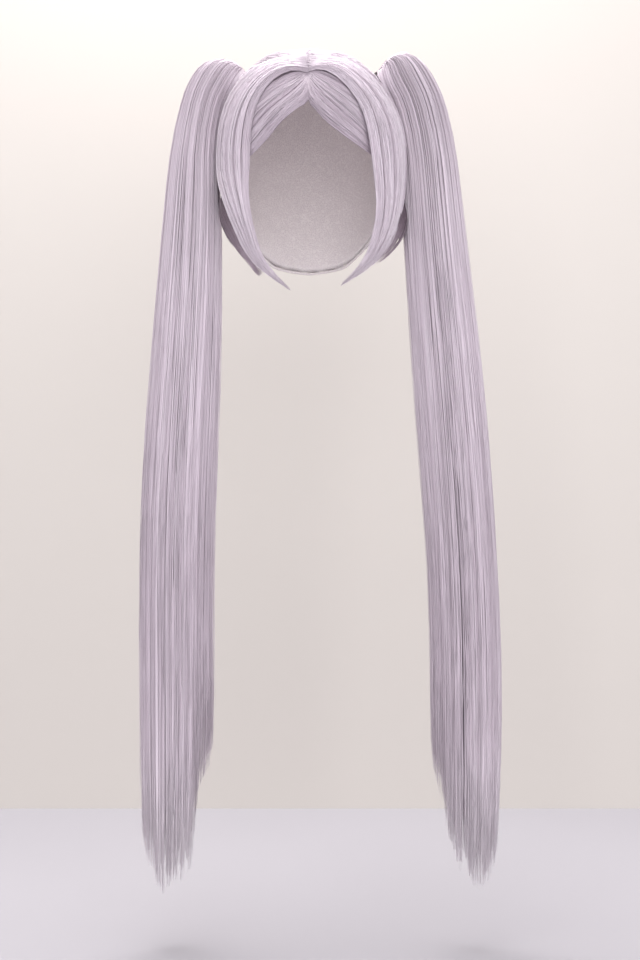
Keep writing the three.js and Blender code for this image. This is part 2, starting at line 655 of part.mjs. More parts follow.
// The hair that drops from a tie close beside the head.
function rootFall(side) {
  const centre = tieCentre(side);
  const sections = ROOT_FALL.map((row) => {
    const middle = centre.clone();
    middle.x += side * row.out * PIGTAIL_WIDTH;
    middle.z -= row.down * PIGTAIL_WIDTH;
    const [width, depth] = [row.width, row.depth].map((share) => (share * PIGTAIL_WIDTH) / 2);
    return pigtailSection(middle, width, depth, new THREE.Vector3(0, 0, -1));
  });
  return loft(sections);
}

// One loose end, a narrowing strip that starts inside the pigtail's body.
function looseEnd(side, rows, spread, end) {
  const foot = pigtailPlace(side, rows, spread, 1);
  const centre = tieCentre(side);
  const sections = [];
  for (let station = 0; station <= END_STATIONS; station++) {
    const along = station / END_STATIONS;
    const down = mix(ENDS_START, end.end, along) * PIGTAIL_DROP;
    const taper = Math.max(1 - along ** TIP_BLUNTNESS, TIP_SHARE);
    const squeeze = mix(1, TIP_SPREAD, along);
    const reach = PIGTAIL_WIDTH / 2;
    const middle = foot.middle.clone().setZ(centre.z - down);
    middle.x += side * end.across * reach * squeeze;
    middle.y += end.deep * (PIGTAIL_DEPTH / 2) * mix(ENDS_DEPTH_START, ENDS_DEPTH_TIP, along);
    const ring = [];
    for (let step = 0; step < END_SIDES; step++) {
      const turn = (2 * Math.PI * (step + 0.5)) / END_SIDES;
      const offset = new THREE.Vector3(Math.cos(turn), Math.sin(turn), 0);
      ring.push(middle.clone().addScaledVector(offset, end.thick * reach * taper));
    }
    sections.push(ring);
  }
  return loft(sections);
}

function pigtail(side, rows, spread, ends) {
  const body = pigtailBody(side, rows, spread).add(rootFall(side));
  const clear = body.subtract(grownForm(OUTER_LAYER)).subtract(tieRoom(side));
  const joined = clear.add(pigtailNeck(side));
  return ends.reduce((solid, end) => solid.add(looseEnd(side, rows, spread, end)), joined);
}

const wig = new THREE.Group();
wig.add(
  named('cap', cap(), NET),
  named('crown_hair_left', fan(LEFT, CROWN_ROOTS), HAIR),
  named('crown_hair_right', fan(RIGHT, CROWN_ROOTS), HAIR),
  named('back_hair_left', fan(LEFT, BACK_ROOTS), HAIR),
  named('back_hair_right', fan(RIGHT, BACK_ROOTS), HAIR),
  named('fringe_left', fringe(LEFT, LEFT_FRINGE), HAIR),
  named('fringe_right', fringe(RIGHT, RIGHT_FRINGE), HAIR),
  named('side_lock_left', sideLock(LEFT, LEFT_SIDE_LOCK), HAIR),
  named('side_lock_right', sideLock(RIGHT, RIGHT_SIDE_LOCK), HAIR),
  named('under_wisp_left', underWisp(LEFT, LEFT_UNDER_WISP), SHADED_HAIR),
  named('under_wisp_right', underWisp(RIGHT, RIGHT_UNDER_WISP), SHADED_HAIR),
  named('hair_tie_left', hairTie(LEFT), ELASTIC),
  named('hair_tie_right', hairTie(RIGHT), ELASTIC),
  named('pigtail_left', pigtail(LEFT, LEFT_RUN, LEFT_SPREAD, LEFT_ENDS), HAIR),
  named('pigtail_right', pigtail(RIGHT, RIGHT_RUN, RIGHT_SPREAD, RIGHT_ENDS), HAIR),
);

export default wig;
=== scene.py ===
"""A pigtail wig of pale lilac fibre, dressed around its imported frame.

The solids of the frame give each piece its place. Here every lock is combed out of fine strands:
the drawn hair over the cap, the fringe, the side locks, the thin hair under the ears and the two
pigtails. The cap gets its net, its rows of stitching and its bound edge, and each tie its cord.
Metres, +Z up, the face opening towards -Y. Left is -X.
"""

import logging
import math
from abc import ABC, abstractmethod
from collections.abc import Iterator
from dataclasses import dataclass, field
from enum import Enum

import bpy
import numpy as np
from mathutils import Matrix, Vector


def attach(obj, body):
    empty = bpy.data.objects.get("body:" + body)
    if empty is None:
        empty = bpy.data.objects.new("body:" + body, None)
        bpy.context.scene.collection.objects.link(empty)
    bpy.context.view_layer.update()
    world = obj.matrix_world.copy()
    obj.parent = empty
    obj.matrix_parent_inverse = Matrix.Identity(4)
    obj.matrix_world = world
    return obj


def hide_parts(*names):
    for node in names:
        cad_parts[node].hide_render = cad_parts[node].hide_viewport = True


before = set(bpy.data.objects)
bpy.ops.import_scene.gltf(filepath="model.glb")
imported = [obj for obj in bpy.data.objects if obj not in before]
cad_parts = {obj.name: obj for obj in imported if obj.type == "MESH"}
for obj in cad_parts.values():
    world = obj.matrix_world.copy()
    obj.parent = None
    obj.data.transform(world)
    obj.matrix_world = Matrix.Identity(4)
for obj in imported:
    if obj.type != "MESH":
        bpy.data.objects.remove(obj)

LOG = logging.getLogger("pigtail_wig")
Array = np.ndarray
BODY = "root"
MM = 0.001
BACKWARDS = np.array([0.0, 1.0, 0.0])


class Side(Enum):
    """The two sides of the wig, by the sign of X."""

    LEFT = -1
    RIGHT = 1

    @property
    def word(self) -> str:
        """The side's word in a piece's name."""
        return self.name.lower()


class Slot(Enum):
    """The material slots that the record names."""

    HAIR = "hair"
    SHADED_HAIR = "shaded_hair"
    CAP_NET = "cap_net"
    ELASTIC = "elastic"


def unit(vectors: Array) -> Array:
    """Vectors scaled to length 1 along their last axis."""
    return vectors / np.maximum(np.linalg.norm(vectors, axis=-1, keepdims=True), 1e-12)


def smoothstep(value: Array | float, low: float, high: float) -> Array:
    """A smooth rise from 0 to 1.

    Args:
        value: where to read it.
        low: where the rise starts.
        high: where it ends.

    Returns:
        The height of the rise at each value.
    """
    part = np.clip((np.asarray(value) - low) / (high - low), 0, 1)
    return part * part * (3 - 2 * part)


def mix(low: Array | float, high: Array | float, share: Array | float) -> Array | float:
    """The value a share of the way from one value to another.

    Args:
        low: the value at share 0.
        high: the value at share 1.
        share: the share of the way.

    Returns:
        The value there.
    """
    return low + (high - low) * share


@dataclass(frozen=True)
class Table:
    """Rows of named columns, read on a smooth curve through the rows.

    Attributes:
        columns: the name of each column.
        rows: a row of numbers for each station.
    """

    columns: tuple[str, ...]
    rows: tuple[tuple[float, ...], ...]

    def column(self, name: str) -> Array:
        """All the values of a column."""
        return np.array([row[self.columns.index(name)] for row in self.rows])

    def at(self, name: str, share: Array) -> Array:
        """Values of a column at shares of the way through the rows.

        Args:
            name: the column.
            share: where to read it, from 0 at the first row to 1 at the last.

        Returns:
            A value for each share.
        """
        values = self.column(name)
        last = len(values) - 1
        place = np.clip(share, 0, 1) * last
        row = np.minimum(place.astype(int), last - 1)
        part = place - row
        before, start, end, after = (values[np.clip(row + step, 0, last)] for step in (-1, 0, 1, 2))
        slope_in = (end - before) / 2
        slope_out = (after - start) / 2
        rise = end - start
        bend = 3 * rise - 2 * slope_in - slope_out
        turn = slope_in + slope_out - 2 * rise
        return start + part * (slope_in + part * (bend + part * turn))


@dataclass(frozen=True)
class CapHollow:
    """The rounded hollow of the cap, about a centre below the origin.

    Attributes:
        width: its width from side to side.
        front_reach: how far it reaches forward from the centre.
        back_reach: how far it reaches back.
        crown_rise: how far it rises above the centre.
        face_drop: how far its form would drop below the centre.
        roundness: the power of its outline, 2 for an ellipse and more for a fuller form.
    """

    width: float = 0.152
    front_reach: float = 0.092
    back_reach: float = 0.100
    crown_rise: float = 0.095
    face_drop: float = 0.150
    roundness: float = 2.3

    @property
    def centre(self) -> Array:
        """The middle of the hollow."""
        return np.array([0.0, 0.0, -self.crown_rise])

    def towards(self, side: Side, around: Array, tilt: Array) -> Array:
        """Unit directions from the centre.

        Args:
            side: which half of the wig.
            around: degrees round from the face.
            tilt: degrees from straight up.

        Returns:
            Directions, with X, Y and Z on the last axis.
        """
        turn = np.radians(around)
        lean = np.radians(tilt)
        level = np.sin(lean)
        parts = side.value * level * np.sin(turn), -level * np.cos(turn), np.cos(lean)
        return np.stack(np.broadcast_arrays(*parts), axis=-1)

    def reach(self, directions: Array, height: Array | float) -> Array:
        """How far a surface lies from the centre.

        Args:
            directions: unit directions.
            height: the surface's height outside the hollow.

        Returns:
            Metres from the centre, for each direction.
        """
        across = self.width / 2 + height
        along = np.where(directions[..., 1] < 0, self.front_reach, self.back_reach) + height
        upright = np.where(directions[..., 2] > 0, self.crown_rise, self.face_drop) + height
        total = np.abs(directions[..., 0] / across) ** self.roundness
        total = total + np.abs(directions[..., 1] / along) ** self.roundness
        total = total + np.abs(directions[..., 2] / upright) ** self.roundness
        return total ** (-1 / self.roundness)

    def above(self, directions: Array, height: Array | float) -> Array:
        """Points on a surface.

        Args:
            directions: unit directions from the centre.
            height: the surface's height outside the hollow.

        Returns:
            The surface's point in each direction.
        """
        return directions * self.reach(directions, height)[..., None] + self.centre

    def clear(self, points: Array, height: Array | float) -> Array:
        """Points kept clear of a surface.

        Args:
            points: the points.
            height: the surface's height outside the hollow.

        Returns:
            The points, with those that lay inside the surface moved straight out to it.
        """
        offset = points - self.centre
        length = np.linalg.norm(offset, axis=-1)
        directions = offset / np.maximum(length, 1e-9)[..., None]
        outside = np.maximum(length, self.reach(directions, height))
        return directions * outside[..., None] + self.centre


FORM = CapHollow()


@dataclass(frozen=True)
class Layers:
    """Heights above the hollow, and thicknesses, of the wig's layers.

    Attributes:
        cap_wall: the cap's thickness.
        gap: the gap between layers.
        touch_gap: the gap between what all but touches.
        under_hair: the thickness of the fringe and of the wisps.
        crown_hair: the full thickness of the drawn hair.
        neck_hair: its thickness at a tie.
        side_lock: the full thickness of a side lock.
        free_lift: how far a free lock stands off at lift 1.
    """

    cap_wall: float = 0.002
    gap: float = 0.0006
    touch_gap: float = 0.0003
    under_hair: float = 0.0024
    crown_hair: float = 0.0064
    neck_hair: float = 0.0092
    side_lock: float = 0.006
    free_lift: float = 0.009

    @property
    def under(self) -> float:
        """Where the hair that lies on the cap starts."""
        return self.cap_wall + self.gap

    @property
    def upper(self) -> float:
        """Where the side locks start."""
        return self.under + self.under_hair + self.gap

    @property
    def outer(self) -> float:
        """The height that a pigtail keeps clear of."""
        return max(self.upper + self.side_lock, self.under + self.neck_hair) + self.gap


LAYERS = Layers()


@dataclass
class MeshParts:
    """Arrays that grow into one mesh: its points, faces and what the finishes read at each point.

    The fibre values are a strand's own tone, its share of the way along, and its shade: 0 in the
    open, 1 in the shadow of the root, and below 0 where thin ends let light through. The flow
    values are metres across and along the hair, and a number that sets the strand apart.
    """

    points: list[Array] = field(default_factory=list)
    quads: list[Array] = field(default_factory=list)
    triangles: list[Array] = field(default_factory=list)
    fibre: list[Array] = field(default_factory=list)
    flow: list[Array] = field(default_factory=list)
    count: int = 0

    def add(self, points: Array, quads: Array, triangles: Array, fibre: Array, flow: Array) -> None:
        """Adds a piece's arrays.

        Args:
            points: its points.
            quads: its four-sided faces, which count from its own first point.
            triangles: its three-sided faces, likewise.
            fibre: its fibre values, for each point or for all.
            flow: its flow values, likewise.
        """
        self.points.append(points.reshape(-1, 3))
        self.quads.append(quads.reshape(-1, 4) + self.count)
        self.triangles.append(triangles.reshape(-1, 3) + self.count)
        self.fibre.append(np.broadcast_to(fibre, points.shape).reshape(-1, 3))
        self.flow.append(np.broadcast_to(flow, points.shape).reshape(-1, 3))
        self.count += points.size // 3

    def build(self, name: str) -> bpy.types.Object:
        """Makes the mesh and its object.

        Args:
            name: the object's name.

        Returns:
            The object, smooth, with its attributes, linked to the scene.
        """
        quads = np.concatenate(self.quads)
        triangles = np.concatenate(self.triangles)
        mesh = bpy.data.meshes.new(name)
        mesh.vertices.add(self.count)
        mesh.vertices.foreach_set("co", np.concatenate(self.points).astype(np.float32).ravel())
        mesh.loops.add(quads.size + triangles.size)
        corners = np.concatenate([quads.ravel(), triangles.ravel()]).astype(np.int32)
        mesh.loops.foreach_set("vertex_index", corners)
        mesh.polygons.add(len(quads) + len(triangles))
        starts = np.concatenate(
            [np.arange(len(quads)) * 4, quads.size + np.arange(len(triangles)) * 3]
        )
        mesh.polygons.foreach_set("loop_start", starts.astype(np.int32))
        mesh.polygons.foreach_set("use_smooth", np.ones(len(starts), dtype=bool))
        for label, values in (("fibre", self.fibre), ("flow", self.flow)):
            layer = mesh.attributes.new(label, "FLOAT_VECTOR", "POINT")
            layer.data.foreach_set("vector", np.concatenate(values).astype(np.float32).ravel())
        mesh.update(calc_edges=True)
        mesh.validate()
        piece = bpy.data.objects.new(name, mesh)
        bpy.context.scene.collection.objects.link(piece)
        return piece


def add_shell(parts: MeshParts, rings: Array, fibre: Array, flow: Array) -> None:
    """Adds a closed skin through rings of points, with a ladder of faces across each end.

    Args:
        parts: where the skin goes.
        rings: points, by ring, then round the ring. In an end ring, the first point faces the last.
        fibre: fibre values for each point.
        flow: flow values for each point.
    """
    count, around = rings.shape[:2]
    place = np.arange(count * around).reshape(count, around)
    beside = np.roll(place, -1, axis=1)
    sides = np.stack([place[:-1], beside[:-1], beside[1:], place[1:]], axis=-1).reshape(-1, 4)
    rung = np.arange(around // 2 - 1)
    facing = around - 1 - rung
    near = np.stack([rung + 1, rung, facing, facing - 1], axis=-1)
    far = np.stack([rung, rung + 1, facing - 1, facing], axis=-1) + place[-1, 0]
    quads = np.concatenate([sides, near, far])
    points = rings.reshape(-1, 3)
    first, second, third, fourth = (points[quads[:, corner]] for corner in range(4))
    volume = np.einsum("ij,ij->", first, np.cross(second, third))
    volume += np.einsum("ij,ij->", first, np.cross(third, fourth))
    quads = quads if volume > 0 else quads[:, ::-1]
    parts.add(rings, quads, np.zeros((0, 3), dtype=int), fibre, flow)


@dataclass
class Strands:
    """A bunch of strands with the same number of stations.

    Attributes:
        paths: points, by strand, then station.
        facing: the direction that a strand's flat side turns to, at each point.
        width: each strand's width in metres, at each station or all along.
        tone: each strand's own tone, from 0 dark to 1 bright.
        shade: how deep in shadow each point lies, as in MeshParts.
    """

    paths: Array
    facing: Array
    width: Array
    tone: Array
    shade: Array

    THICKNESS = 0.5
    TIP = 0.3
    TIP_START = 0.8
    CORNERS = (90, 210, 330)
    NUMBER_STEP = 0.37

    def add_to(self, parts: MeshParts) -> None:
        """Adds every strand as a slim closed three-sided stalk that narrows to its tip."""
        count, stations = self.paths.shape[:2]
        ahead = unit(np.gradient(self.paths, axis=1))
        across = unit(np.cross(ahead, self.facing))
        upward = np.cross(across, ahead)
        share = np.linspace(0, 1, stations)
        half = np.broadcast_to(self.width, (count, stations)) / 2
        half = half * mix(1, self.TIP, smoothstep(share, self.TIP_START, 1))
        turns = np.radians(self.CORNERS)
        spread = across[:, :, None] * (half[..., None] * np.cos(turns))[..., None]
        lift = upward[:, :, None] * (half[..., None] * np.sin(turns) * self.THICKNESS)[..., None]
        points = self.paths[:, :, None] + spread + lift
        place = np.arange(count * stations * 3).reshape(count, stations, 3)
        beside = np.roll(place, -1, axis=2)
        quads = np.stack(
            [place[:, :-1], place[:, 1:], beside[:, 1:], beside[:, :-1]], axis=-1
        )
        triangles = np.concatenate([place[:, 0], place[:, -1, ::-1]])
        along = np.broadcast_to(share[None, :, None], (count, stations, 3))
        tone = np.broadcast_to(self.tone[:, None, None], along.shape)
        shade = np.broadcast_to(self.shade, (count, stations))[..., None]
        fibre = np.stack([tone, along, np.broadcast_to(shade, along.shape)], axis=-1)
        steps = np.linalg.norm(np.diff(self.paths, axis=1), axis=-1)
        length = np.concatenate([np.zeros((count, 1)), np.cumsum(steps, axis=1)], axis=1)
        flow = np.stack(
            [
                half[..., None] * np.cos(turns),
                np.broadcast_to(length[..., None], along.shape),
                np.broadcast_to(np.arange(count)[:, None, None] * self.NUMBER_STEP, along.shape),
            ],
            axis=-1,
        )
        parts.add(points, quads, triangles, fibre, flow)


def waves(rng: np.random.Generator, count: int, share: Array, size: float, turns: float) -> Array:
    """Slow sideways wandering for strands.

    Args:
        rng: the source of chance.
        count: how many strands.
        share: shares of the way along.
        size: how far a strand wanders.
        turns: about how many times it wanders to and fro.

    Returns:
        An offset for each strand and share.
    """
    phase = rng.uniform(0, 2 * math.pi, (count, 1))
    rate = rng.uniform(0.5, 1.5, (count, 1)) * turns * 2 * math.pi
    amount = rng.normal(0, size, (count, 1))
    return amount * np.sin(phase + rate * share)


def streaks(rng: np.random.Generator, share: Array, count: int, strength: float) -> Array:
    """Tones that neighbouring strands share, so that they read as fine streaks.

    Args:
        rng: the source of chance.
        share: each strand's place across the piece, from 0 to 1.
        count: how many streaks the piece has.
        strength: how much one streak differs from the next.

    Returns:
        A tone for each strand, about 0.
    """
    group = np.clip((share * count).astype(int), 0, count - 1)
    return rng.normal(0, strength, count)[group] + rng.normal(0, 0.6 * strength, share.shape)


def dealt(rng: np.random.Generator, share: Array, locks: int, uneven: float) -> tuple[Array, ...]:
    """Deals strands out to the locks that lie side by side in a piece.

    Args:
        rng: the source of chance.
        share: each strand's place across the piece, from 0 to 1.
        locks: how many locks there are.
        uneven: how far the border between two locks may move, as a share of a lock.

    Returns:
        Each strand's lock, and the lower and the upper border of that lock.
    """
    borders = np.linspace(0, 1, locks + 1)
    borders[1:-1] += rng.uniform(-uneven, uneven, locks - 1) / locks
    lock = np.clip(np.searchsorted(borders, share[:, 0]) - 1, 0, locks - 1)
    return lock, borders[lock][:, None], borders[lock + 1][:, None]


def add_layer(
    parts: MeshParts, top: Array, under: Array, along: Array, tone: float, shade: Array, size: tuple
) -> None:
    """Adds the solid heart of hair on the cap, which shows only between the strands.

    Args:
        parts: where it goes.
        top: points of its upper side, by station, then across.
        under: points of its underside, likewise.
        along: each station's share of the way along.
        tone: its tone, lower than the strands' as painted shade.
        shade: how deep in shadow each station lies.
        size: about how far it runs round and along, in metres.
    """
    rings = np.concatenate([top, under[:, ::-1]], axis=1)
    shape = rings.shape[:2]
    around = np.broadcast_to(np.linspace(0, 1, shape[1]), shape)
    level = np.broadcast_to(along, shape)
    fibre = np.stack([np.full(shape, tone), level, np.broadcast_to(shade, shape)], axis=-1)
    flow = np.stack([around * size[0], level * size[1], np.zeros(shape)], axis=-1)
    add_shell(parts, rings, fibre, flow)


def smoothed(paths: Array) -> Array:
    """Strand paths with their sharper corners rounded off, and their ends kept."""
    rounded = paths.copy()
    rounded[:, 1:-1] = (paths[:, :-2] + 2 * paths[:, 1:-1] + paths[:, 2:]) / 4
    return rounded


# Tables of places on the hollow: degrees round from the face, degrees from straight up.
LOCK_COLUMNS = ("front_around", "front_tilt", "back_around", "back_tilt", "thickness", "lift")
SIDE_LOCKS = {
    Side.LEFT: Table(
        LOCK_COLUMNS,
        (
            (1, 53, 1, 39, 0.5, 0),
            (10.5, 51.5, 31, 43, 0.8, 0),
            (22, 57, 49, 50, 1, 0),
            (30, 69, 67, 60, 1, 0),
            (33.5, 86, 79, 77, 1, 0),
            (34.5, 103, 82, 96, 1, 0),
            (35, 119, 66, 113, 0.95, 0),
            (33, 132, 53, 128, 0.85, 0),
            (29, 143, 42, 142, 0.7, 0),
            (14.5, 154, 15.5, 154.4, 0.2, 0),
        ),
    ),
    Side.RIGHT: Table(
        LOCK_COLUMNS,
        (
            (1, 52, 1, 37, 0.5, 0),
            (9.5, 51, 32, 41, 0.8, 0),
            (20, 58, 49, 49, 1, 0),
            (28, 71, 67, 60, 1, 0.15),
            (31, 87, 79, 76, 1, 0.45),
            (34, 103, 83, 95, 1, 0.5),
            (38, 118, 82, 113, 0.95, 0.5),
            (40, 130, 74, 127, 0.85, 0.45),
            (37, 141, 59, 140, 0.7, 0.25),
            (26, 152, 27, 152.3, 0.2, 0),
        ),
    ),
}
FRINGES = {
    Side.LEFT: Table(
        LOCK_COLUMNS,
        (
            (1, 70, 1, 44, 0.8, 0),
            (12, 79, 14, 48, 1, 0),
            (22, 89.5, 29, 57, 1, 0),
            (32, 96.5, 43, 72, 0.9, 0),
            (47, 101, 56, 90, 0.6, 0),
        ),
    ),
    Side.RIGHT: Table(
        LOCK_COLUMNS,
        (
            (1, 70, 1, 44, 0.8, 0),
            (9, 80.5, 14, 48, 1, 0),
            (19, 88, 28, 57, 1, 0),
            (30, 93, 42, 71, 0.9, 0),
            (46, 98, 55, 87, 0.6, 0),
        ),
    ),
}
UNDER_WISPS = {
    Side.LEFT: Table(
        LOCK_COLUMNS,
        (
            (54, 101, 96, 103, 0.8, 0),
            (56, 110, 96, 112, 1, 0.3),
            (48, 120, 86, 120, 1, 0.75),
            (42, 131, 68, 131, 0.8, 0.8),
            (37, 142, 49, 142, 0.5, 0.5),
            (37, 149, 42, 149, 0.3, 0.3),
        ),
    ),
    Side.RIGHT: Table(
        LOCK_COLUMNS,
        (
            (56, 101, 97, 103, 0.8, 0),
            (58, 110, 100, 111, 1, 0.9),
            (54, 120, 98, 120, 1, 1.7),
            (50, 131, 92, 129, 0.9, 1.6),
            (46, 141, 84, 138, 0.6, 0.9),
            (44, 146, 70, 143, 0.3, 0.5),
        ),
    ),
}
ROOT_COLUMNS = ("around", "tilt", "thickness")
CROWN_ROOTS = Table(
    ROOT_COLUMNS,
    (
        (67, 65, 0.37),
        (50, 55, 0.37),
        (30, 47, 0.37),
        (0, 37, 0.4),
        (0, 18, 0.8),
        (180, 12, 0.85),
        (180, 42, 0.85),
        (180, 68, 0.8),
    ),
)
BACK_ROOTS = Table(
    ROOT_COLUMNS,
    (
        (180, 70, 0.8),
        (180, 102, 0.6),
        (180, 135, 0.37),
        (155, 133, 0.37),
        (132, 124, 0.37),
        (112, 110, 0.37),
        (92, 99, 0.37),
        (79, 96, 0.37),
        (75, 81, 0.37),
        (68, 67, 0.37),
    ),
)
CAP_EDGE = Table(
    ("around", "tilt"),
    (
        (0, 66),
        (30, 80),
        (52, 98),
        (72, 109),
        (92, 110),
        (112, 113),
        (132, 127),
        (155, 136),
        (180, 138),
    ),
)

# How each pigtail folds over beyond its tie, in millimetres out from the tie's middle and up from
# it, at the pigtail's inner and outer edges, with its half depth and its roundness on top.
FOLD_COLUMNS = ("inner_out", "inner_up", "outer_out", "outer_up", "half_depth", "bulge")
FOLDS = {
    Side.LEFT: Table(
        FOLD_COLUMNS,
        (
            (-9, 9, 2, 21, 12, 1),
            (-12.5, 13, 17, 26, 15, 1.5),
            (-11, 8, 31, 19, 19, 2),
            (-5, -2, 40, 7, 21, 2),
            (7, -24, 49, -13, 22, 1),
            (12, -50, 57.5, -46, 22.5, 0),
            (12.5, -84, 62.5, -80, 23.5, 0),
            (9, -116, 65.5, -113, 24.8, 0),
        ),
    ),
    Side.RIGHT: Table(
        FOLD_COLUMNS,
        (
            (-4.5, 9.5, 9, 26, 12, 2),
            (-5.5, 14.5, 24, 32, 15, 3),
            (-7.5, 8, 38, 22, 19, 2.5),
            (-6, -4, 49, 6, 21, 1.5),
            (5, -24, 59, -17, 22, 1),
            (13, -52, 67.5, -50, 22.5, 0),
            (16, -84, 72, -84, 23.5, 0),
            (17, -118, 76, -117, 24.8, 0),
        ),
    ),
}

# The run of a pigtail below its fold: down and out are shares of its drop and its spread, width and
# depth shares of its full width and depth.
RUN_COLUMNS = ("down", "out", "width", "depth")
RUNS = {
    Side.LEFT: Table(
        RUN_COLUMNS,
        (
            (0.206, 0.705, 0.829, 0.97),
            (0.283, 0.761, 0.89, 1),
            (0.385, 0.841, 0.95, 1),
            (0.488, 0.938, 0.993, 1),
            (0.59, 0.97, 0.98, 0.98),
            (0.693, 0.978, 0.98, 0.94),
            (0.783, 0.966, 0.99, 0.88),
            (0.88, 1.0, 0.92, 0.74),
            (1.0, 1.02, 0.82, 0.5),
        ),
    ),
    Side.RIGHT: Table(
        RUN_COLUMNS,
        (
            (0.206, 0.62, 0.843, 0.97),
            (0.283, 0.702, 0.904, 1),
            (0.385, 0.786, 0.957, 1),
            (0.488, 0.867, 0.95, 1),
            (0.59, 0.944, 0.93, 0.98),
            (0.693, 0.98, 0.95, 0.94),
            (0.783, 0.985, 0.97, 0.88),
            (0.88, 0.99, 0.9, 0.74),
            (1.0, 0.985, 0.8, 0.5),
        ),
    ),
}

# Where the ends of each pigtail stop, as a share of its drop, across from its inner to its outer edge.
END_COLUMNS = ("across", "end")
ENDS = {
    Side.LEFT: Table(
        END_COLUMNS,
        (
            (-1.02, 0.84),
            (-0.62, 0.875),
            (-0.48, 0.975),
            (-0.2, 0.99),
            (0.3, 1.0),
            (0.6, 0.985),
            (0.85, 0.965),
            (1.0, 0.94),
        ),
    ),
    Side.RIGHT: Table(
        END_COLUMNS,
        (
            (-1.02, 0.85),
            (-0.8, 0.88),
            (-0.6, 0.93),
            (-0.3, 0.97),
            (0.1, 0.985),
            (0.4, 0.995),
            (0.75, 0.985),
            (1.0, 0.955),
        ),
    ),
}


@dataclass(frozen=True)
class TieSeat:
    """Where a tie stands on the cap.

    Attributes:
        side: which half of the wig.
        around: degrees round from the face opening.
        tilt: degrees from straight up.
        neck_radius: the radius of the neck of hair.
        band_thickness: how far the band stands out from the neck.
        band_height: how far the band reaches along the neck.
    """

    side: Side
    around: float = 97.0
    tilt: float = 42.0
    neck_radius: float = 0.0115
    band_thickness: float = 0.0042
    band_height: float = 0.008

    @property
    def foot(self) -> Array:
        """The point on the cap under the tie."""
        return FORM.above(FORM.towards(self.side, self.around, self.tilt), LAYERS.under)

    @property
    def axis(self) -> Array:
        """The direction in which the neck of hair leaves the cap."""
        seat = self.foot - FORM.centre
        reaches = np.array([FORM.width / 2, FORM.back_reach, FORM.crown_rise]) + LAYERS.under
        slope = np.sign(seat) * np.abs(seat / reaches) ** (FORM.roundness - 1) / reaches
        return unit(slope)

    @property
    def centre(self) -> Array:
        """The middle of the tie."""
        lift = LAYERS.neck_hair + LAYERS.gap + self.band_height / 2
        return self.foot + self.axis * lift


class CombedPiece(ABC):
    """Hair that is combed over a solid heart, and stands for one CAD node.

    Attributes:
        name: the CAD node.
        slot: its material slot.
        seed: for its chance.
    """

    name: str
    slot: Slot
    seed: int

    @abstractmethod
    def core(self, parts: MeshParts) -> None:
        """Adds the solid heart, which shows only between the strands."""

    @abstractmethod
    def strands(self, rng: np.random.Generator) -> Iterator[Strands]:
        """Combs the strands, bunch by bunch."""

    def build(self) -> bpy.types.Object:
        """Makes the piece."""
        rng = np.random.default_rng(self.seed)
        parts = MeshParts()
        self.core(parts)
        for bunch in self.strands(rng):
            bunch.add_to(parts)
        return place_piece(parts.build(f"{self.name}_strands"), self.slot, self.name)


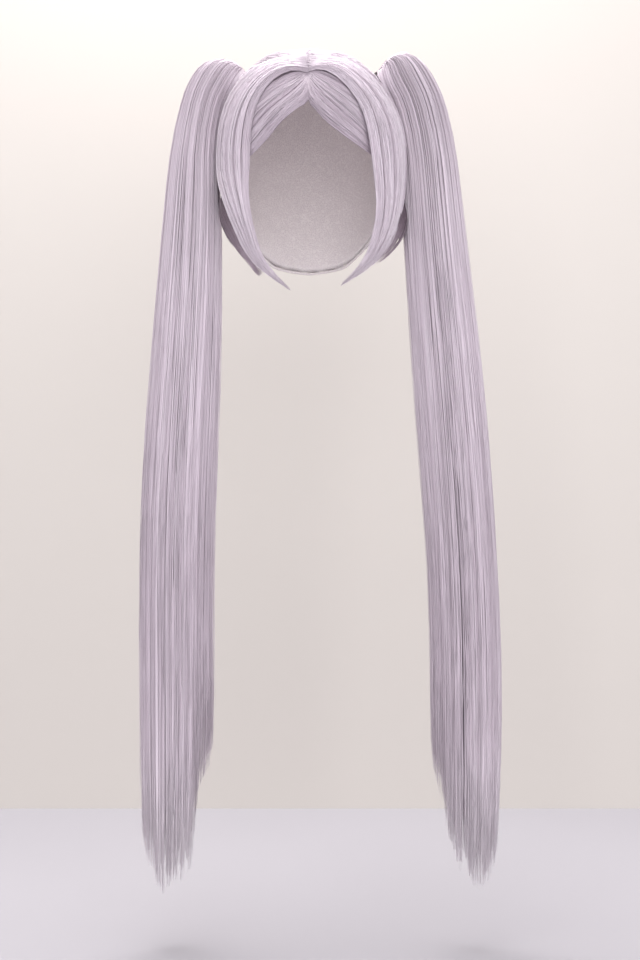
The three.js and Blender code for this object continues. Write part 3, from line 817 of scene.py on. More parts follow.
@dataclass
class Strip(CombedPiece):
    """A curved strip of hair over the hollow: the fringe, a side lock or the hair under an ear.

    Attributes:
        side: which half of the wig.
        name: the CAD node that it replaces.
        table: its edges, thickness and lift.
        base: the height at which it starts.
        full: its full thickness.
        locks: how many locks lie side by side.
        count: how many strands.
        stations: points along each strand.
        slot: its material slot.
        shade: how deep in shadow it lies, at its start and at its end.
        thinning: the share of its length over which strands stop.
        tip_gather: how far its strands draw together at the tip.
        core_end: how far along its solid heart reaches.
        seed: for its chance.
        strand_width: the least and the greatest width of a strand.
        tucked: the share of its width, from its front edge, that stays down under a side lock.
        strays: the share of its strands that stray beyond its back edge.
        grooves: how deep the grooves between its locks are, and how much painted shade lies in them.
        fan_tilt: the tilt of the point of the parting that its strands fan out from, if they do.
        meets_parting: True if its strands start at the parting, where they close up to its middle.
    """

    side: Side
    name: str
    table: Table
    base: float
    full: float
    locks: int
    count: int
    stations: int
    slot: Slot
    shade: tuple[float, float]
    thinning: float
    tip_gather: float
    core_end: float
    seed: int
    strand_width: tuple[float, float] = (0.0006, 0.0010)
    tucked: float = 0.0
    strays: float = 0.0
    grooves: float = 1.0
    fan_tilt: float | None = None
    meets_parting: bool = False

    STREAKS = 36
    STREAK_STRENGTH = 0.13
    LOCK_TONES = 0.1
    CORE_SHARE = 0.66
    # The heart is painted darker than the strands, with a lower tone and added shade: painted shade
    # between the strands.
    CORE_TONE = 0.35
    CORE_SHADE = 0.25
    CORE_SIZE = (0.12, 0.3)
    CORE_ACROSS = 26
    CORE_ALONG = 34
    UNEVEN_LOCKS = 0.25
    LEVELS = (0.45, 1.06)
    FAN_CROWDING = 1.6

    def direction(self, along: Array, share: Array) -> Array:
        """Directions to places along the strip and across it, from its front to its back edge."""
        around = mix(self.table.at("front_around", along), self.table.at("back_around", along), share)
        tilt = mix(self.table.at("front_tilt", along), self.table.at("back_tilt", along), share)
        return FORM.towards(self.side, around, tilt)

    def fanned(self, along: Array, share: Array) -> Array:
        """Directions along strands that leave one point of the parting and bend into the strip."""
        inside = np.clip(share, 0, 1)
        joined = mix(0.04, 0.55, smoothstep(inside, 0, 0.6))
        part = np.minimum(along / joined, 1)
        place = np.maximum(along, joined)
        around = mix(self.table.at("front_around", place), self.table.at("back_around", place), share)
        tilt = mix(self.table.at("front_tilt", place), self.table.at("back_tilt", place), share)
        first = self.table.rows[0]
        corner = mix(first[1], first[3], inside)
        around = part**2 * around + 2 * part * (1 - part) * 0.1
        tilt = (1 - part) ** 2 * self.fan_tilt + 2 * part * (1 - part) * corner + part**2 * tilt
        return FORM.towards(self.side, around, tilt)

    def foot(self, along: Array, share: Array) -> Array:
        """The height of the strip's underside, along it and across it."""
        lift = LAYERS.free_lift * np.maximum(self.table.at("lift", along), 0)
        if self.tucked:
            lift = lift * mix(0.15, 1, smoothstep(share, self.tucked, self.tucked + 0.4))
        return self.base + lift + 0 * share

    def thickness(self, along: Array, share: Array, lock_share: Array) -> Array:
        """How thick the strip is: round across, with a groove between its locks.

        Args:
            along: shares of the way along.
            share: shares of the way across.
            lock_share: places across a lock, from -1 to 1.

        Returns:
            Thicknesses in metres.
        """
        edge = mix(0.35, 1, smoothstep(np.minimum(share, 1 - share), 0, 0.13))
        crown = mix(1, 1 - 0.34 * self.grooves, np.abs(lock_share) ** 4)
        return self.full * self.table.at("thickness", along) * edge * crown

    def core(self, parts: MeshParts) -> None:
        """Adds the solid heart of the strip, which shows only between its strands."""
        along = np.linspace(0.0, self.core_end, self.CORE_ALONG)[:, None]
        share = np.linspace(0.03, 0.97, self.CORE_ACROSS)[None, :]
        lock_share = 2 * ((share * self.locks) % 1) - 1
        narrow = mix(1, 0.3, smoothstep(along / self.core_end, 0.75, 1))
        share = mix(0.5, share, narrow)
        direction = self.direction(along, share)
        foot = self.foot(along, share)
        top = FORM.above(direction, foot + self.CORE_SHARE * self.thickness(along, share, lock_share))
        under = FORM.above(direction, foot)
        shade = mix(*self.shade, along) + self.CORE_SHADE
        add_layer(parts, top, under, along, self.CORE_TONE, shade, self.CORE_SIZE)

    def strands(self, rng: np.random.Generator) -> Iterator[Strands]:
        """Combs the strands: each keeps to its lock, and the locks thin out towards the tip."""
        share = rng.uniform(0, 1, (self.count, 1))
        along_end = 1 - self.thinning * rng.random((self.count, 1))
        start = rng.uniform(0, 0.02, (self.count, 1))
        step = np.linspace(0, 1, self.stations)[None, :]
        along = mix(start, along_end, step**self.FAN_CROWDING if self.fan_tilt else step)
        lock, low, high = dealt(rng, share, self.locks, self.UNEVEN_LOCKS)
        middle = (low + high) / 2
        lock_share = np.clip((share - middle) / (high - low) * 2, -1, 1)
        gather = 0.08 * smoothstep(along, 0.05, 0.4) + 0.2 * smoothstep(along, 0.6, 1)
        drift = rng.normal(0, 0.02, self.locks)[lock][:, None] * np.sin(math.pi * along)
        place = middle + (share - middle) * (1 - self.grooves * gather) + drift
        place = place + waves(rng, self.count, along, 0.01, 1.2)
        place = mix(place, 0.5, self.tip_gather * smoothstep(along, 0.8, 1))
        if self.strays:
            stray = rng.random((self.count, 1)) < self.strays
            place = place + stray * rng.uniform(0.1, 0.6, (self.count, 1)) * smoothstep(along, 0.3, 1)
        depth = rng.power(2.2, (self.count, 1))
        height = self.thickness(along, np.clip(share, 0, 1), lock_share) * mix(*self.LEVELS, depth)
        height = height + np.abs(waves(rng, self.count, along, 0.0003, 1.5))
        direction = self.fanned(along, place) if self.fan_tilt else self.direction(along, place)
        if self.meets_parting:
            crossing = rng.uniform(0.005, 0.022, (self.count, 1)) * (1 - smoothstep(along, 0, 0.12))
            direction = unit(direction - np.stack([self.side.value * crossing, 0 * along, 0 * along], -1))
        paths = FORM.above(direction, self.foot(along, place) + height)
        lock_tone = rng.uniform(-self.LOCK_TONES, self.LOCK_TONES, self.locks)[lock]
        streak = streaks(rng, share[:, 0], self.STREAKS, self.STREAK_STRENGTH)
        tone = np.clip(0.5 + lock_tone + streak, 0, 1)
        # Painted shade: from the strip's start to its end, on the deeper strands and in the grooves
        # between locks.
        groove = np.abs(lock_share) ** 6
        shade = mix(*self.shade, smoothstep(along, 0.3, 1)) + 0.2 * (1 - depth)
        shade = shade + 0.16 * self.grooves * groove
        width = rng.uniform(*self.strand_width, (self.count, 1))
        yield Strands(paths, direction, width, tone, shade)


@dataclass
class DrawnHair(CombedPiece):
    """Hair drawn over the cap from a line of roots to the neck of a tie.

    Attributes:
        seat: the tie that it is drawn to.
        name: the CAD node that it replaces.
        roots: the line of its roots, and its share of the full thickness there.
        locks: how many locks lie side by side.
        count: how many strands.
        seed: for its chance.
        stations: points along each strand.
        root_tuck: metres from the roots over which it lies under the hair beside it.
        root_rise: metres over which it then rises to its full thickness.
        neck_gather: metres over which it thickens towards the tie.
        parting_gap: the gap between the two sides at the parting.
        strand_width: the least and the greatest width of a strand.
    """

    seat: TieSeat
    name: str
    roots: Table
    locks: int
    count: int
    seed: int
    stations: int = 15
    root_tuck: float = 0.011
    root_rise: float = 0.026
    neck_gather: float = 0.026
    parting_gap: float = 0.0002
    strand_width: tuple[float, float] = (0.0006, 0.0011)

    slot = Slot.HAIR
    STREAKS = 130
    STREAK_STRENGTH = 0.13
    LOCK_TONES = 0.12
    CORE_SHARE = 0.72
    # The heart's lower tone is painted shade between the strands.
    CORE_TONE = 0.4
    CORE_SIZE = (0.2, 0.1)
    CORE_ACROSS = 64
    CORE_ALONG = 22
    UNEVEN_LOCKS = 0.3
    LEVELS = (0.6, 1.04)
    GROOVE_DEPTH = 0.0011

    def root(self, share: Array) -> Array:
        """Directions to the roots, a share of the way along their line."""
        rows = FORM.towards(self.seat.side, self.roots.column("around"), self.roots.column("tilt"))
        last = len(rows) - 1
        place = np.clip(share, 0, 1) * last
        row = np.minimum(place.astype(int), last - 1)
        direction = unit(mix(rows[row], rows[row + 1], (place - row)[..., None]))
        side = self.seat.side.value
        margin = self.parting_gap / 2 / FORM.reach(direction, LAYERS.under)
        direction[..., 0] = side * np.maximum(side * direction[..., 0], margin)
        return unit(direction)

    def neck(self) -> tuple[Array, float, float]:
        """The opening for the neck: its direction, its distance from the centre, and its angle."""
        middle = self.seat.foot + self.seat.axis * LAYERS.neck_hair / 2 - FORM.centre
        reach = float(np.linalg.norm(self.seat.foot - FORM.centre))
        lean = math.acos(float(np.dot(unit(middle), self.seat.axis)))
        drift = LAYERS.neck_hair / 2 * math.sin(lean)
        radius = self.seat.neck_radius + LAYERS.touch_gap + drift
        return unit(middle), reach, math.atan(radius / reach)

    def directions(self, share: Array, along: Array) -> tuple[Array, Array]:
        """Directions along the great arcs from the roots to the neck.

        Args:
            share: places along the line of roots.
            along: shares of the way from the root to the neck.

        Returns:
            The directions, and the length of each arc.
        """
        neck, reach, opening = self.neck()
        root = self.root(share)
        sweep = np.arccos(np.clip(root @ neck, -1, 1))
        sideways = unit(root - neck * np.cos(sweep)[..., None])
        angle = mix(sweep, opening, along)
        direction = neck * np.cos(angle)[..., None] + sideways * np.sin(angle)[..., None]
        return direction, reach * (sweep - opening)

    def thickness(self, share: Array, along: Array, length: Array) -> Array:
        """How thick the hair lies at places along it."""
        start = self.roots.at("thickness", share) * LAYERS.crown_hair
        from_root = length * along
        from_neck = length * (1 - along)
        rise = smoothstep(from_root, self.root_tuck, self.root_tuck + self.root_rise)
        gather = 1 - smoothstep(from_neck, 0, self.neck_gather)
        free = smoothstep(from_root, self.root_tuck, self.root_tuck + self.root_rise / 3)
        return mix(mix(start, LAYERS.crown_hair, rise), LAYERS.neck_hair, gather * free)

    def core(self, parts: MeshParts) -> None:
        """Adds the solid heart of the drawn hair, which shows only between its strands."""
        share = np.linspace(0, 1, self.CORE_ACROSS)[None, :]
        along = np.linspace(0.01, 1.0, self.CORE_ALONG)[:, None]
        share, along = np.broadcast_arrays(share, along)
        direction, length = self.directions(share, along)
        thickness = self.CORE_SHARE * self.thickness(share, along, length)
        top = FORM.above(direction, LAYERS.under + thickness)
        under = FORM.above(direction, LAYERS.under + 0 * share)
        station = along[:, :1]
        add_layer(parts, top, under, station, self.CORE_TONE, 0.25 + 0.3 * station**3, self.CORE_SIZE)

    def strands(self, rng: np.random.Generator) -> Iterator[Strands]:
        """Combs the strands from their roots to the neck of the tie."""
        share = rng.uniform(0, 1, (self.count, 1))
        step = np.linspace(0, 1, self.stations)[None, :]
        along = mix(rng.uniform(-0.006, 0.01, (self.count, 1)), 1.0, step)
        lock, low, high = dealt(rng, share, self.locks, self.UNEVEN_LOCKS)
        lock_share = ((share - low) / (high - low)) * 2 - 1
        arc = np.sin(math.pi * along)
        place = share + rng.normal(0, 0.004, (self.count, 1)) * arc
        place = place + waves(rng, self.count, along, 0.004, 1.3) * arc
        direction, length = self.directions(place, along)
        depth = rng.power(2.2, (self.count, 1))
        groove = np.abs(lock_share) ** 4
        height = self.thickness(share, along, length) * mix(*self.LEVELS, depth)
        height = height - self.GROOVE_DEPTH * groove * arc
        paths = FORM.above(direction, LAYERS.under + height)
        lock_tone = rng.uniform(-self.LOCK_TONES, self.LOCK_TONES, self.locks)[lock]
        streak = streaks(rng, share[:, 0], self.STREAKS, self.STREAK_STRENGTH)
        tone = np.clip(0.55 + lock_tone + streak, 0, 1)
        near_neck = smoothstep(along, 0.75, 1)
        shade = 0.16 * (1 - depth) + 0.2 * groove * arc + 0.3 * near_neck
        width = rng.uniform(*self.strand_width, (self.count, 1)) * mix(1, 0.6, near_neck)
        yield Strands(paths, direction, width, tone, shade)


@dataclass
class Pigtail(CombedPiece):
    """A long pigtail: it spreads from its tie, folds over, and hangs down to loose thin ends.

    Attributes:
        seat: its tie.
        name: the CAD node that it replaces.
        fold: how it folds over beyond the tie.
        run: how it hangs below the fold.
        ends: where its ends stop.
        spread: how far out from the tie it hangs.
        seed: for its chance.
        drop: how far it hangs below the tie.
        width: its full width, seen from the front.
        depth: its full depth, from front to back.
        root_count: how many strands run all the way from the tie.
        root_stations: points along each of them.
        fall_count: how many strands join below the fold.
        fall_stations: points along each of those.
        locks: how many locks lie round it.
        strand_width: the least and the greatest width of a strand.
        band_cover: how far its heart stays clear of the band.
    """

    seat: TieSeat
    name: str
    fold: Table
    run: Table
    ends: Table
    spread: float
    seed: int
    drop: float = 0.780
    width: float = 0.0715
    depth: float = 0.052
    root_count: int = 860
    root_stations: int = 22
    fall_count: int = 1640
    fall_stations: int = 9
    locks: int = 44
    strand_width: tuple[float, float] = (0.0006, 0.0010)
    band_cover: float = 0.0012

    slot = Slot.HAIR
    # Chance, tones and shades: the shade that marks down the pigtail add comes last.
    STREAKS = 150
    STREAK_STRENGTH = 0.07
    TONE = 0.46
    TONE_LIMITS = (0.15, 0.8)
    TIE_SHADE = 0.48
    SHADE_ALONG = (0.35, 0.63, 0.74, 0.83, 0.88, 0.93), (0.0, 0.26, 0.16, 0.06, -0.35, -0.8)

    # The form: how many places its curve is read at, how its heart lies in it, its stray strands,
    # and how its strands stop short, draw into locks and draw together at the tip.
    DENSE = 800
    NECK_LIFTS = (-0.5, 0.0, 0.6)
    CORE_SHARE = 0.87
    CORE_END = 0.84
    CORE_ALONG = 60
    CORE_AROUND = 36
    FLYAWAYS = 0.025
    FLYAWAY_RING = (1.0, 1.06)
    STOPS_SHORT = 0.12
    LOCK_PULL = 0.1
    TIP_GATHER = 0.22

    def __post_init__(self) -> None:
        """Works out the inner and outer edges of the pigtail from its band to its longest tip."""
        side = self.seat.side.value
        centre = self.seat.centre
        inner, outer, depth, bulge = [], [], [], []
        for lift in self.NECK_LIFTS:
            middle = centre + self.seat.axis * lift * self.seat.band_height
            inner.append(middle)
            outer.append(middle + self.upper * self.seat.neck_radius)
            depth.append(self.seat.neck_radius)
            bulge.append(0)
        for inner_out, inner_up, outer_out, outer_up, half_depth, round_top in self.fold.rows:
            inner.append(centre + np.array([side * inner_out, 0, inner_up]) * MM)
            outer.append(centre + np.array([side * outer_out, 0, outer_up]) * MM)
            depth.append(half_depth * MM)
            bulge.append(round_top * MM)
        for down, out, width, deep in self.run.rows:
            middle = centre + [side * out * self.spread, 0, -down * self.drop]
            half = np.array([side * width * self.width / 2, 0, 0])
            inner.append(middle - half)
            outer.append(middle + half)
            depth.append(deep * self.depth / 2)
            bulge.append(0)
        rows = np.column_stack([np.array(inner), np.array(outer), depth, bulge])
        names = tuple(str(number) for number in range(rows.shape[1]))
        curve = Table(names, tuple(map(tuple, rows)))
        dense = np.linspace(0, 1, self.DENSE)
        values = np.stack([curve.at(name, dense) for name in names], axis=-1)
        self.inner, self.outer = values[:, :3], values[:, 3:6]
        self.half_depth, self.bulge = values[:, 6], values[:, 7]
        middle = (self.inner + self.outer) / 2
        steps = np.linalg.norm(np.diff(middle, axis=0), axis=-1)
        self.length = np.concatenate([[0], np.cumsum(steps)])
        self.down = (centre[2] - middle[:, 2]) / self.drop
        last = len(rows) - 1
        self.row_lengths = np.interp(np.arange(last + 1) / last, dense, self.length)
        necks = len(self.NECK_LIFTS)
        self.tie_length = self.row_lengths[necks - 1]
        self.peak_length = self.row_lengths[necks + 1]
        self.shoulder_length = self.row_lengths[necks + 4]
        self.fold_length = self.row_lengths[necks + len(self.fold.rows) - 1]

    @property
    def upper(self) -> Array:
        """The direction across the neck of hair towards the top of the cap."""
        return np.cross(self.seat.axis, BACKWARDS) * self.seat.side.value

    def length_at_drop(self, share: Array) -> Array:
        """The length along the run at shares of the drop, for places below the fold."""
        return np.interp(share, np.maximum.accumulate(self.down), self.length)

    def over_band(self, points: Array, across: Array, deep: Array, length: Array) -> Array:
        """The points, with those that would cut the band moved out to its front or its back.

        Args:
            points: places beside the tie.
            across: their places across the pigtail, from -1 to 1.
            deep: negative for what passes in front, positive for what passes behind.
            length: metres along the run, since only the hair past the peak is moved.

        Returns:
            The moved points.
        """
        offset = points - self.seat.centre
        lift = offset @ self.seat.axis
        sideways = offset @ self.upper
        back = offset[..., 1]
        outwards = (np.hypot(across, deep) - self.CORE_SHARE) / (1 - self.CORE_SHARE)
        cover = self.band_cover * (1 + np.maximum(outwards, 0))
        radius = self.seat.neck_radius + self.seat.band_thickness + cover
        radius = radius * (1 - smoothstep(np.abs(lift), 0.006, 0.013))
        needed = np.sqrt(np.maximum(radius**2 - sideways**2, 0))
        moved = np.where(deep < 0, np.minimum(back, -needed), np.maximum(back, needed))
        past = smoothstep(length, self.row_lengths[len(self.NECK_LIFTS)], self.peak_length)
        return points + BACKWARDS * ((moved - back) * past)[..., None]

    def at(self, length: Array, across: Array, deep: Array) -> tuple[Array, Array]:
        """Points of the pigtail, and the directions out of it.

        Args:
            length: metres along the run.
            across: from -1 at the inner edge to 1 at the outer edge.
            deep: from -1 at the front to 1 at the back.

        Returns:
            The points, clear of the band and of the hair on the cap, and the outward directions.
        """
        def read(values: Array) -> Array:
            return np.stack([np.interp(length, self.length, column) for column in values.T], axis=-1)

        inner, outer = read(self.inner), read(self.outer)
        half = (outer - inner) / 2
        upward = np.cross(unit(half), BACKWARDS) * self.seat.side.value
        rise = np.interp(length, self.length, self.bulge) * (1 - np.clip(across, -1, 1) ** 2)
        depth = np.interp(length, self.length, self.half_depth) * deep
        points = (inner + outer) / 2 + half * across[..., None]
        points = points + upward * rise[..., None] + BACKWARDS * depth[..., None]
        points = self.over_band(points, across, deep, length)
        facing = unit(unit(half) * across[..., None] + BACKWARDS * deep[..., None])
        lying = smoothstep(length, self.tie_length, self.peak_length)
        free = 1 - np.clip(np.hypot(across, deep), 0, 1)
        return FORM.clear(points, (LAYERS.outer + 0.003 * free) * lying), facing

    def core(self, parts: MeshParts) -> None:
        """Adds the solid heart of the pigtail, which shows only between its strands."""
        end = float(self.length_at_drop(np.array(self.CORE_END)))
        along = np.linspace(0, 1, self.CORE_ALONG)[:, None] ** 1.4
        turn = (np.arange(self.CORE_AROUND)[None, :] + 0.5) * 2 * math.pi / self.CORE_AROUND
        size = self.CORE_SHARE * mix(1, 0.45, smoothstep(along, 0.7, 1))
        length = end * along + 0 * turn
        rings, _ = self.at(length, size * np.cos(turn), size * np.sin(turn))
        level = np.broadcast_to(along[..., None], rings.shape[:2] + (1,))
        around = np.broadcast_to(np.abs(np.sin(turn / 2))[..., None], level.shape)
        # Tone 0.4 and shade 0.35: the heart is painted darker, as painted shade between the strands.
        fibre = np.concatenate([0 * level + 0.4, level, 0 * level + 0.35], axis=-1)
        flow = np.concatenate([around * 0.1, level * end, 0 * level], axis=-1)
        add_shell(parts, rings, fibre, flow)

    def lengths(self, rng: np.random.Generator, end: Array, falls: bool) -> Array:
        """Places along the run for each strand's stations, close together round the fold.

        Args:
            rng: the source of chance.
            end: where each strand stops.
            falls: True for the shorter strands that join below the fold.

        Returns:
            Metres along the run, by strand, then station.
        """
        if falls:
            start = self.length_at_drop(rng.uniform(0.07, 0.3, end.shape))
            return mix(start, end, np.linspace(0, 1, self.fall_stations)[None, :])
        step = np.linspace(0, 1, self.root_stations)[None, :]
        marks = (0, 0.52, 0.7, 1)
        early = np.interp(step, marks, (0, self.shoulder_length, self.fold_length, self.fold_length))
        return early + (end - self.fold_length) * np.maximum(step - marks[2], 0) / (1 - marks[2])

    def comb(self, rng: np.random.Generator, locks: Array, falls: bool) -> Strands:
        """Combs strands in locks that wander slowly and part into thin ends.

        Args:
            rng: the source of chance.
            locks: the turn, drift, size, shortness, tone and groove of each lock, by row.
            falls: True for the shorter strands that join below the fold.

        Returns:
            The strands.
        """
        count = self.fall_count if falls else self.root_count
        lock_turn, lock_drift, lock_size, lock_short, lock_tone, lock_groove = locks
        turn = rng.uniform(0, 2 * math.pi, (count, 1))
        apart = np.angle(np.exp(1j * (turn - lock_turn[None, :])))
        lock = np.argmin(np.abs(apart), axis=1)
        from_lock = np.take_along_axis(apart, lock[:, None], axis=1)
        lock_share = np.clip(from_lock / (math.pi / self.locks), -1, 1)
        depth = rng.power(2.0, (count, 1))
        deep_groove = lock_groove[lock][:, None]
        edge = np.abs(lock_share) ** 5
        ring = mix(0.8 if falls else 0.88, 1.0, depth) - 0.02 * edge * deep_groove
        loose = rng.random((count, 1)) < self.FLYAWAYS
        ring = np.where(loose, rng.uniform(*self.FLYAWAY_RING, (count, 1)), ring)
        reach = np.interp(ring * np.cos(turn), self.ends.column("across"), self.ends.column("end"))
        short = self.STOPS_SHORT * rng.random((count, 1)) ** 1.4
        end = self.length_at_drop(reach - lock_short[lock][:, None] - short)
        length = self.lengths(rng, end, falls)
        down = length / self.length[-1]
        wander = lock_drift[lock][:, None] * smoothstep(down, 0.1, 1)
        wander = wander + waves(rng, count, down, 0.018, 1.0) + loose * waves(rng, count, down, 0.08, 2)
        pull = self.LOCK_PULL * deep_groove * smoothstep(down, 0.06, 0.3)
        angle = turn + wander - from_lock * pull
        if falls:
            ring = ring * mix(0.84, 1, smoothstep(length - length[:, :1], 0, 0.06))
        gather = self.TIP_GATHER * smoothstep(down, self.CORE_END, 1) * rng.uniform(0.2, 1, (count, 1))
        centre_ring = lock_size[lock][:, None]
        centre_angle = (lock_turn + lock_drift)[lock][:, None]
        across = mix(ring * np.cos(angle), centre_ring * np.cos(centre_angle), gather)
        deep = mix(ring * np.sin(angle), centre_ring * np.sin(centre_angle), gather)
        paths, facing = self.at(length, across, deep)
        near_tie = 1 - smoothstep(length, self.peak_length, self.fold_length)
        around = turn[:, 0] / (2 * math.pi)
        tone = self.TONE + lock_tone[lock] + streaks(rng, around, self.STREAKS, self.STREAK_STRENGTH)
        tone = np.clip(tone, *self.TONE_LIMITS)
        shade = 0.1 * (1 - depth) + 0.1 * edge * deep_groove
        shade = shade + near_tie * rng.uniform(0, self.TIE_SHADE, (count, 1))
        shade = shade + np.interp(down, *self.SHADE_ALONG)
        width = rng.uniform(*self.strand_width, (count, 1)) * mix(1, 0.8, near_tie)
        return Strands(smoothed(paths), facing, width, tone, shade)

    def strands(self, rng: np.random.Generator) -> Iterator[Strands]:
        """Lays out the locks, and combs the long strands and then the shorter ones."""
        turn = (rng.uniform(0, 0.8, self.locks) + np.arange(self.locks)) / self.locks * 2 * math.pi
        locks = np.stack(
            [
                turn,
                rng.normal(0, 0.022, self.locks),
                rng.uniform(0.78, 1.0, self.locks),
                rng.uniform(0, 0.025, self.locks),
                rng.uniform(-0.05, 0.05, self.locks),
                rng.random(self.locks) ** 3,
            ]
        )
        for falls in (False, True):
            yield self.comb(rng, locks, falls)


def place_piece(piece: bpy.types.Object, slot: Slot, *nodes: str) -> bpy.types.Object:
    """Parents a new piece to what it rides on, and hides the CAD nodes that it stands for.

    Args:
        piece: the new object.
        slot: the record's material slot; not used.
        nodes: the CAD nodes that it stands for.

    Returns:
        The same object.
    """
    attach(piece, BODY)
    if nodes:
        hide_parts(*nodes)
    return piece


def deselect_all() -> None:
    """Leaves nothing selected, so that an operator acts only on what comes next."""
    bpy.ops.object.select_all(action="DESELECT")


def make_active(piece: bpy.types.Object) -> None:
    """Selects one object alone and makes it the active one."""
    deselect_all()
    piece.select_set(True)
    bpy.context.view_layer.objects.active = piece


@dataclass
class HairTie:
    """An elastic band round a pigtail's neck: turns of a knitted cord side by side.

    Attributes:
        seat: where it stands.
        name: the CAD node that it replaces.
        turns: how many turns of cord.
        clearance: the gap between the neck and the cord.
        segments_round: points round a turn.
        segments_cord: points round the cord.
    """

    seat: TieSeat
    name: str
    turns: int = 3
    clearance: float = 0.0003
    segments_round: int = 96
    segments_cord: int = 12

    def build(self) -> bpy.types.Object:
        """Models the turns of cord and joins them."""
        cord = self.seat.band_height / self.turns / 2
        radius = self.seat.neck_radius + self.clearance + self.seat.band_thickness / 2
        turned = Vector(self.seat.axis).to_track_quat("Z", "Y").to_euler()
        rings = []
        for turn in range(self.turns):
            offset = (turn - (self.turns - 1) / 2) * 2 * cord
            deselect_all()
            bpy.ops.mesh.primitive_torus_add(
                major_radius=radius,
                minor_radius=cord,
                major_segments=self.segments_round,
                minor_segments=self.segments_cord,
                location=tuple(self.seat.centre + self.seat.axis * offset),
                rotation=turned,
            )
            ring = bpy.context.active_object
            bpy.ops.object.transform_apply(location=True, rotation=True, scale=True)
            rings.append(ring)
        deselect_all()
        for ring in rings:
            ring.select_set(True)
        bpy.context.view_layer.objects.active = rings[0]
        bpy.ops.object.join()
        band = bpy.context.active_object
        band.name = band.data.name = f"{self.name}_cord"
        bpy.ops.object.shade_smooth()
        return place_piece(band, Slot.ELASTIC, self.name)


@dataclass
class Cap:
    """The fitted cap: its smooth net, the rows of stitching inside it and its bound edge.

    Attributes:
        node: the CAD node that it replaces.
        row_tilts: degrees from straight up of each row of stitching.
        row_inset: degrees that a row keeps above the edge.
        row_radius: the radius of the stitching's thread.
        binding_radius: the radius of the binding.
    """

    node: str = "cap"
    row_tilts: tuple[float, ...] = (28, 42, 56, 70, 84, 98, 112, 124)
    row_inset: float = 3
    row_radius: float = 0.0005
    binding_radius: float = 0.0013

    TUBE_SIDES = 6

    def edge_tilt(self, around: Array) -> Array:
        """The tilt of the cap's edge at places round it."""
        return np.interp(around, CAP_EDGE.column("around"), CAP_EDGE.column("tilt"))

    def net(self) -> bpy.types.Object:
        """Copies the CAD cap, closes its seams and rounds it."""
        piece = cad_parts[self.node].copy()
        piece.data = piece.data.copy()
        piece.name = piece.data.name = "cap_net"
        bpy.context.scene.collection.objects.link(piece)
        make_active(piece)
        bpy.ops.object.mode_set(mode="EDIT")
        bpy.ops.mesh.select_all(action="SELECT")
        bpy.ops.mesh.remove_doubles(threshold=0.00001)
        bpy.ops.mesh.normals_make_consistent(inside=False)
        bpy.ops.object.mode_set(mode="OBJECT")
        rounding = piece.modifiers.new("rounding", "SUBSURF")
        rounding.levels = rounding.render_levels = 1
        bpy.ops.object.modifier_apply(modifier=rounding.name)
        bpy.ops.object.shade_smooth()
        piece.data.materials.clear()
        return piece

    def tube(self, parts: MeshParts, path: Array, radius: float) -> None:
        """Adds a closed ring of thread along a closed path."""
        count, sides = len(path), self.TUBE_SIDES
        ahead = unit(np.roll(path, -1, axis=0) - np.roll(path, 1, axis=0))
        outward = unit(path - FORM.centre)
        across = unit(np.cross(ahead, outward))
        outward = np.cross(across, ahead)
        turn = np.linspace(0, 2 * math.pi, sides, endpoint=False)[None, :, None]
        rings = path[:, None] + radius * (across[:, None] * np.cos(turn) + outward[:, None] * np.sin(turn))
        place = np.arange(count * sides).reshape(count, sides)
        beside = np.roll(place, -1, axis=1)
        quads = np.stack(
            [place, beside, np.roll(beside, -1, axis=0), np.roll(place, -1, axis=0)], axis=-1
        )
        parts.add(rings, quads, np.zeros((0, 3), dtype=int), np.zeros(3), np.zeros(3))

    def thread(
        self, parts: MeshParts, points: int, lowest: float, inset: float, height: float, radius: float
    ) -> None:
        """Adds a ring of thread round the hollow.

        Args:
            parts: where it goes.
            points: how many points the ring has.
            lowest: the tilt at which it runs, where the cap reaches that far.
            inset: degrees that it keeps above the cap's edge elsewhere.
            height: how high it lies above the hollow.
            radius: how thick it is.
        """
        turn = np.linspace(0, 360, points, endpoint=False)
        around = np.where(turn > 180, 360 - turn, turn)
        tilt = np.minimum(lowest, self.edge_tilt(around) - inset)
        direction = FORM.towards(Side.RIGHT, around, tilt)
        direction[:, 0] *= np.where(turn > 180, -1, 1)
        self.tube(parts, FORM.above(direction, height), radius)

    def stitching(self) -> bpy.types.Object:
        """Makes the rows of stitching inside the net, each running round the hollow."""
        parts = MeshParts()
        for tilt in self.row_tilts:
            self.thread(parts, 120, tilt, self.row_inset, -self.row_radius / 2, self.row_radius)
        return parts.build("cap_stitching")

    def binding(self) -> bpy.types.Object:
        """Makes the rolled binding along the cap's edge."""
        parts = MeshParts()
        self.thread(parts, 180, 180, 0, LAYERS.cap_wall / 2, self.binding_radius)
        return parts.build("cap_binding")

    def build(self) -> list[bpy.types.Object]:
        """Makes the cap's pieces."""
        net = place_piece(self.net(), Slot.CAP_NET, self.node)
        stitching = place_piece(self.stitching(), Slot.CAP_NET)
        binding = place_piece(self.binding(), Slot.CAP_NET)
        return [net, stitching, binding]


def srgb(red: int, green: int, blue: int) -> tuple[float, float, float, float]:
    """A colour in the shader's linear light from its everyday 0 to 255 numbers."""
    parts = []
    for value in (red, green, blue):
        share = value / 255
        parts.append(share / 12.92 if share <= 0.04045 else ((share + 0.055) / 1.055) ** 2.4)
    return (*parts, 1.0)


Socket = bpy.types.NodeSocket


